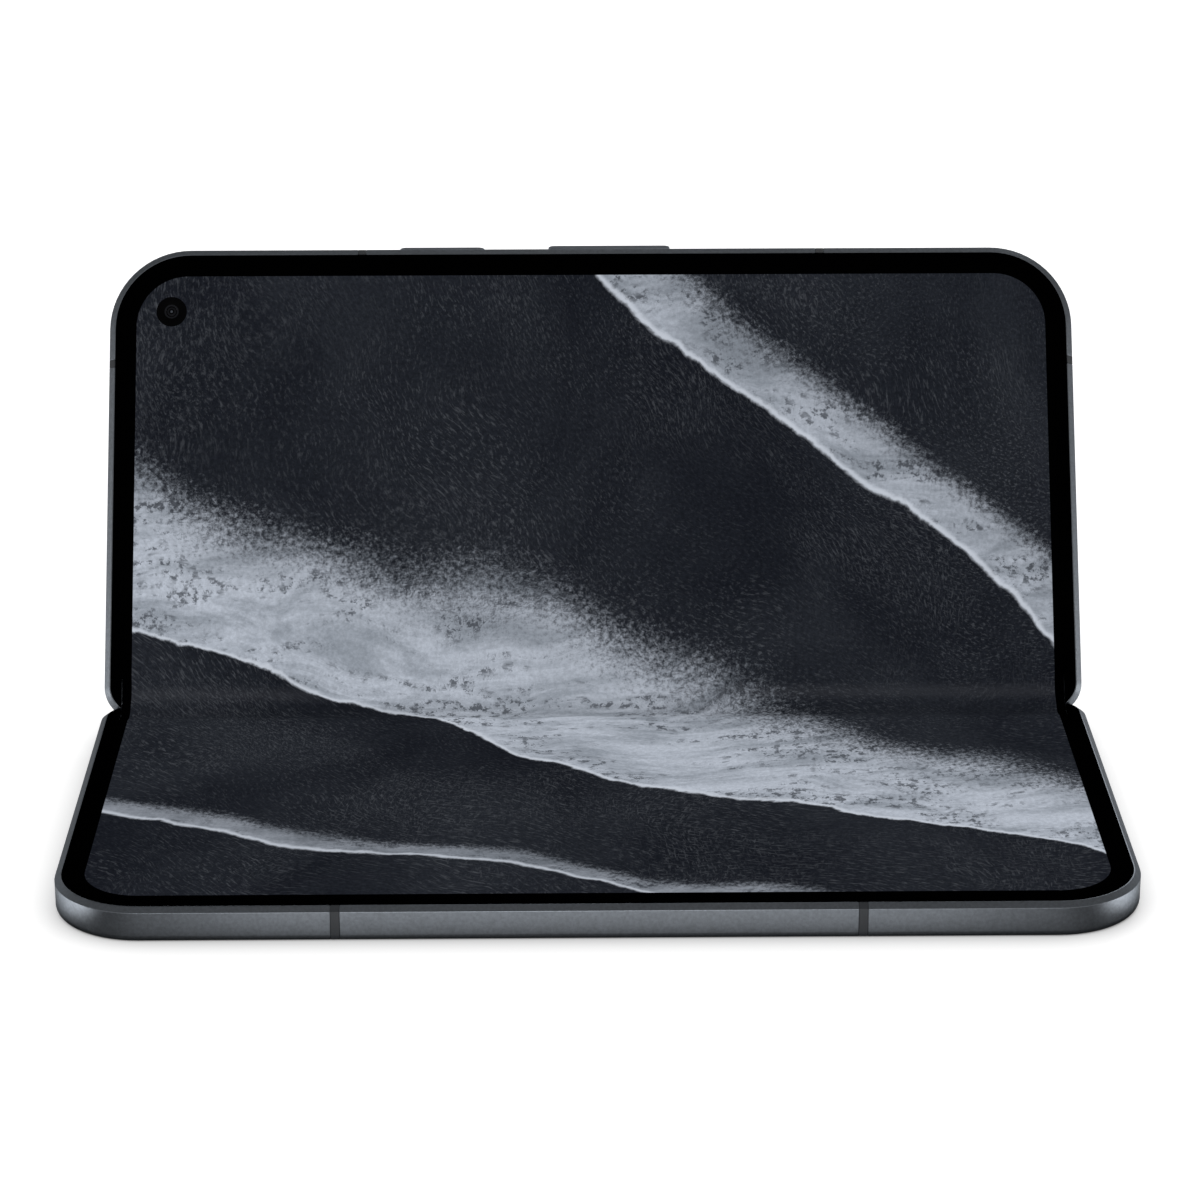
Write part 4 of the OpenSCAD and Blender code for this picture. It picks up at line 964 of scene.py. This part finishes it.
class PHONE_OT_inside(bpy.types.Operator):
    """Pieces inside the halves and the hinge"""

    bl_idname = "phone.inside"
    bl_label = "Inside"

    def execute(self, context):
        finishes = {
            "camera_black": ("cover_camera", "main_camera", "side_cameras", "inner_camera", "port_tongue"),
            "speaker_black": ("receiver", "loudspeaker"),
            "cover_panel": ("cover_display",),
            "cell_pouch": ("lower_battery", "upper_battery"),
            "circuit_board": ("lower_board", "main_board", "port_board"),
            "wound_copper": ("charging_coil",),
            "flex_film": ("key_flex",),
            "magnet_nickel": ("lower_magnets", "upper_magnets"),
            "gear_brass": ("lower_idler_gear", "upper_idler_gear"),
            "steel_turned": (
                "haptic_motor", "gear_shafts", "friction_springs", "lower_timing_arm",
                "upper_timing_arm", "lower_arm_screws", "upper_arm_screws",
            ),
            "steel_long": (
                "card_reader", "lower_backing_plate", "upper_backing_plate", "lower_arc_arms",
                "upper_arc_arms", "lower_flap", "upper_flap", "arc_carriers", "timing_carrier",
                "bridge_plate", "shield_cans",
            ),
        }
        for material, nodes in finishes.items():
            for node in nodes:
                dress(node, material)
        hinge_cable("lower", -1)
        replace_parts(hinge_cable("upper", 1), "hinge_flex")
        return {"FINISHED"}


class PHONE_OT_stage(bpy.types.Operator):
    """White floor, soft light and the camera"""

    bl_idname = "phone.stage"
    bl_label = "Stage"

    def execute(self, context):
        make_world(context.scene)
        make_floor()
        make_lamps()
        make_camera(context.scene)
        context.scene.view_settings.view_transform = "Standard"
        return {"FINISHED"}


class PHONE_PT_panel(bpy.types.Panel):
    """Settings of the phone, and a button for each step"""

    bl_label = "Folding phone"
    bl_idname = "PHONE_PT_panel"
    bl_space_type = "VIEW_3D"
    bl_region_type = "UI"
    bl_category = "Phone"

    def draw(self, context):
        for group in (context.scene.phone_sizes, context.scene.phone_finish):
            for name in group.__annotations__:
                self.layout.prop(group, name)
        for operator in OPERATORS:
            self.layout.operator(operator.bl_idname)


# ---- Stage ----


def make_world(scene):
    """A white studio: bright round the horizon, dimmer overhead and to the sides."""
    overhead_level, side_dimming = 0.22, 0.62
    world = bpy.data.worlds.new("studio")
    world.use_nodes = True
    scene.world = world
    t = Tree(world.node_tree)
    background = world.node_tree.nodes["Background"]
    rays = t.add("LightPath").outputs
    across, _, up = t.split(t.add("TexCoord").outputs["Generated"])
    front = t.maths("SUBTRACT", 1.0, t.maths("MULTIPLY", t.maths("POWER", across, 2.0), side_dimming))
    level = t.maths("MULTIPLY", t.smooth(up, -0.1, 0.9, 1.0, overhead_level), front)
    # the camera and clear glass see white everywhere, and polished faces see it near the horizon
    direct = t.maths("MAXIMUM", rays["Is Camera Ray"], rays["Is Transmission Ray"])
    horizon = t.smooth(up, 0.05, 0.3, 1.0, 0.0)
    polished = t.maths("MULTIPLY", t.maths("MULTIPLY", rays["Is Glossy Ray"], front), horizon)
    background.inputs["Color"].default_value = (1, 1, 1, 1)
    strength = t.maths("MAXIMUM", level, t.maths("MAXIMUM", direct, polished))
    t.link(strength, background.inputs["Strength"])


def painted_reflection_dimming(t, place):
    """How much dimmer metal sees each place on the floor; it is brighter where this is below zero.

    The floor fades to both sides, and a bright patch lies beside each front corner and beside each end of the
    hinge. This is painted light and shade that only metal sees: it paints highlights on the frame's corners and
    darkens its ends.
    """
    x, along, _ = t.split(place)
    aside = t.maths("ABSOLUTE", x)
    painted_side_fade = t.smooth(aside, 40 * MM, 78 * MM, -0.30, 0.85)
    # a painted patch of light beside each front corner, seen only by metal
    corner_start = t.smooth(along, -46 * MM, -38 * MM)
    corner_end = t.smooth(along, -26 * MM, -14 * MM, 3.8, 0.0)
    painted_hinge_patch = t.smooth(along, 12 * MM, 30 * MM, 0.0, 1.2)
    patches = t.maths("ADD", t.maths("MULTIPLY", corner_start, corner_end), painted_hinge_patch)
    beside = t.smooth(aside, 77.5 * MM, 82 * MM)
    return t.maths("SUBTRACT", painted_side_fade, t.maths("MULTIPLY", patches, beside))


def floor_material():
    """White that glows, so that it stays white, but is shaded where the phone stands on it."""
    glow_level = 0.95
    # the phone shades the glow round its foot; in metal a painted shade reaches further and is deeper, which
    # darkens the frame's foot
    shade_reach, painted_reach_in_metal, painted_depth_in_metal = 9 * MM, 21 * MM, 4.0
    material = bpy.data.materials.new("white_floor")
    material.use_nodes = True
    t = Tree(material.node_tree)
    shader = material.node_tree.nodes["Principled BSDF"]
    output = material.node_tree.nodes["Material Output"]
    place = t.place()
    rays = t.add("LightPath").outputs
    in_metal = rays["Is Glossy Ray"]

    white = t.mix(t.noise(place, 30, 2), (0.60, 0.60, 0.60), (0.63, 0.63, 0.63))
    # metal sees the floor's own colour nearly black: a painted shade in the frame's reflections
    t.link(t.mix(in_metal, white, (0.05, 0.05, 0.05)), shader.inputs["Base Color"])
    shader.inputs["Roughness"].default_value = 0.9
    shader.inputs["Specular IOR Level"].default_value = 0.0

    seen = t.maths("MAXIMUM", rays["Is Camera Ray"], t.maths("MAXIMUM", in_metal, rays["Is Transmission Ray"]))
    reach = t.maths("MULTIPLY_ADD", in_metal, painted_reach_in_metal, shade_reach)
    open_sky = t.add("AmbientOcclusion", {"Distance": reach}, samples=16).outputs[1]
    contact = t.maths("POWER", open_sky, t.maths("MULTIPLY_ADD", in_metal, painted_depth_in_metal, 1.0))
    # painted light and shade on the floor that only metal's reflections see
    dimming = t.maths("MULTIPLY", in_metal, painted_reflection_dimming(t, place))
    level = t.maths("MULTIPLY", t.maths("MULTIPLY", seen, contact), t.maths("SUBTRACT", glow_level, dimming))
    glow = t.add("Emission", {"Color": (1, 1, 1, 1), "Strength": level})
    both = t.add("AddShader", {0: shader.outputs[0], 1: glow.outputs[0]})
    t.link(both.outputs[0], output.inputs["Surface"])
    return material


def make_floor():
    """A white floor that keeps the phone's contact shadow."""
    bm = bmesh.new()
    bmesh.ops.create_grid(bm, x_segments=1, y_segments=1, size=3.0)
    mesh = mesh_from(bm, "floor")
    mesh.materials.append(floor_material())
    floor = bpy.data.objects.new("floor", mesh)
    bpy.context.scene.collection.objects.link(floor)


# each lamp: name, place, size of its square and power in watts
LAMPS = (
    ("front_lamp", (-0.02, -0.42, 0.06), 0.16, 0.25),
    ("back_lamp", (0.25, 0.95, 0.45), 0.7, 4.0),
    ("left_lamp", (-0.55, -0.10, 0.07), 0.16, 0.3),
    ("right_lamp", (0.55, -0.10, 0.07), 0.16, 0.3),
)


def make_lamps():
    """Soft lamps: one low on each side and one in front and behind, so that every side has light."""
    aim = Vector((0, FOLD_Y - 20 * MM, 20 * MM))
    for name, place, size, power in LAMPS:
        lamp = bpy.data.lights.new(name, "AREA")
        lamp.size = size
        lamp.energy = power
        holder = bpy.data.objects.new(name, lamp)
        holder.location = place
        holder.rotation_euler = (aim - Vector(place)).to_track_quat("-Z", "Y").to_euler()
        bpy.context.scene.collection.objects.link(holder)


# the line in which the two screens' planes would meet lies this far in front of the fold line
MEETING_LINE = 0.484 * MM

# the camera's place was fitted to the photograph: angles in degrees, distances in metres from
# the middle of that line
CAMERA = {
    "azimuth": -0.65,
    "elevation": 20.46,
    "roll": -0.063,
    "right": 0.98 * MM,
    "up": 16.7 * MM,
    "away": 589.84 * MM,
    "lens": 111.646,
}


def make_camera(scene):
    azimuth, elevation = math.radians(CAMERA["azimuth"]), math.radians(CAMERA["elevation"])
    right = Vector((math.cos(azimuth), math.sin(azimuth), 0))
    level = math.cos(elevation)
    back = Vector((math.sin(azimuth) * level, -math.cos(azimuth) * level, math.sin(elevation)))
    up = back.cross(right)
    corner = Vector((0, FOLD_Y - MEETING_LINE, THICKNESS))
    data = bpy.data.cameras.new("camera")
    data.sensor_width = 36
    data.lens = CAMERA["lens"]
    data.clip_start = 0.01
    data.clip_end = 20
    camera = bpy.data.objects.new("camera", data)
    roll = Matrix.Rotation(math.radians(CAMERA["roll"]), 4, "Z")
    turn = Matrix((right, up, back)).transposed().to_4x4() @ roll
    place = corner + CAMERA["right"] * right + CAMERA["up"] * up + CAMERA["away"] * back
    camera.matrix_world = Matrix.Translation(place) @ turn
    scene.collection.objects.link(camera)
    scene.camera = camera


OPERATORS = (
    PHONE_OT_finishes,
    PHONE_OT_frames,
    PHONE_OT_screen,
    PHONE_OT_outside,
    PHONE_OT_inside,
    PHONE_OT_stage,
)
CLASSES = (PhoneFinish, PhoneSizes, *OPERATORS, PHONE_PT_panel)


def register():
    for cls in CLASSES:
        bpy.utils.register_class(cls)
    bpy.types.Scene.phone_finish = bpy.props.PointerProperty(type=PhoneFinish)
    bpy.types.Scene.phone_sizes = bpy.props.PointerProperty(type=PhoneSizes)


def unregister():
    del bpy.types.Scene.phone_sizes
    del bpy.types.Scene.phone_finish
    for cls in reversed(CLASSES):
        bpy.utils.unregister_class(cls)


def main():
    register()
    for operator in OPERATORS:
        group, name = operator.bl_idname.split(".")
        getattr(getattr(bpy.ops, group), name)()


if __name__ == "__main__":
    main()
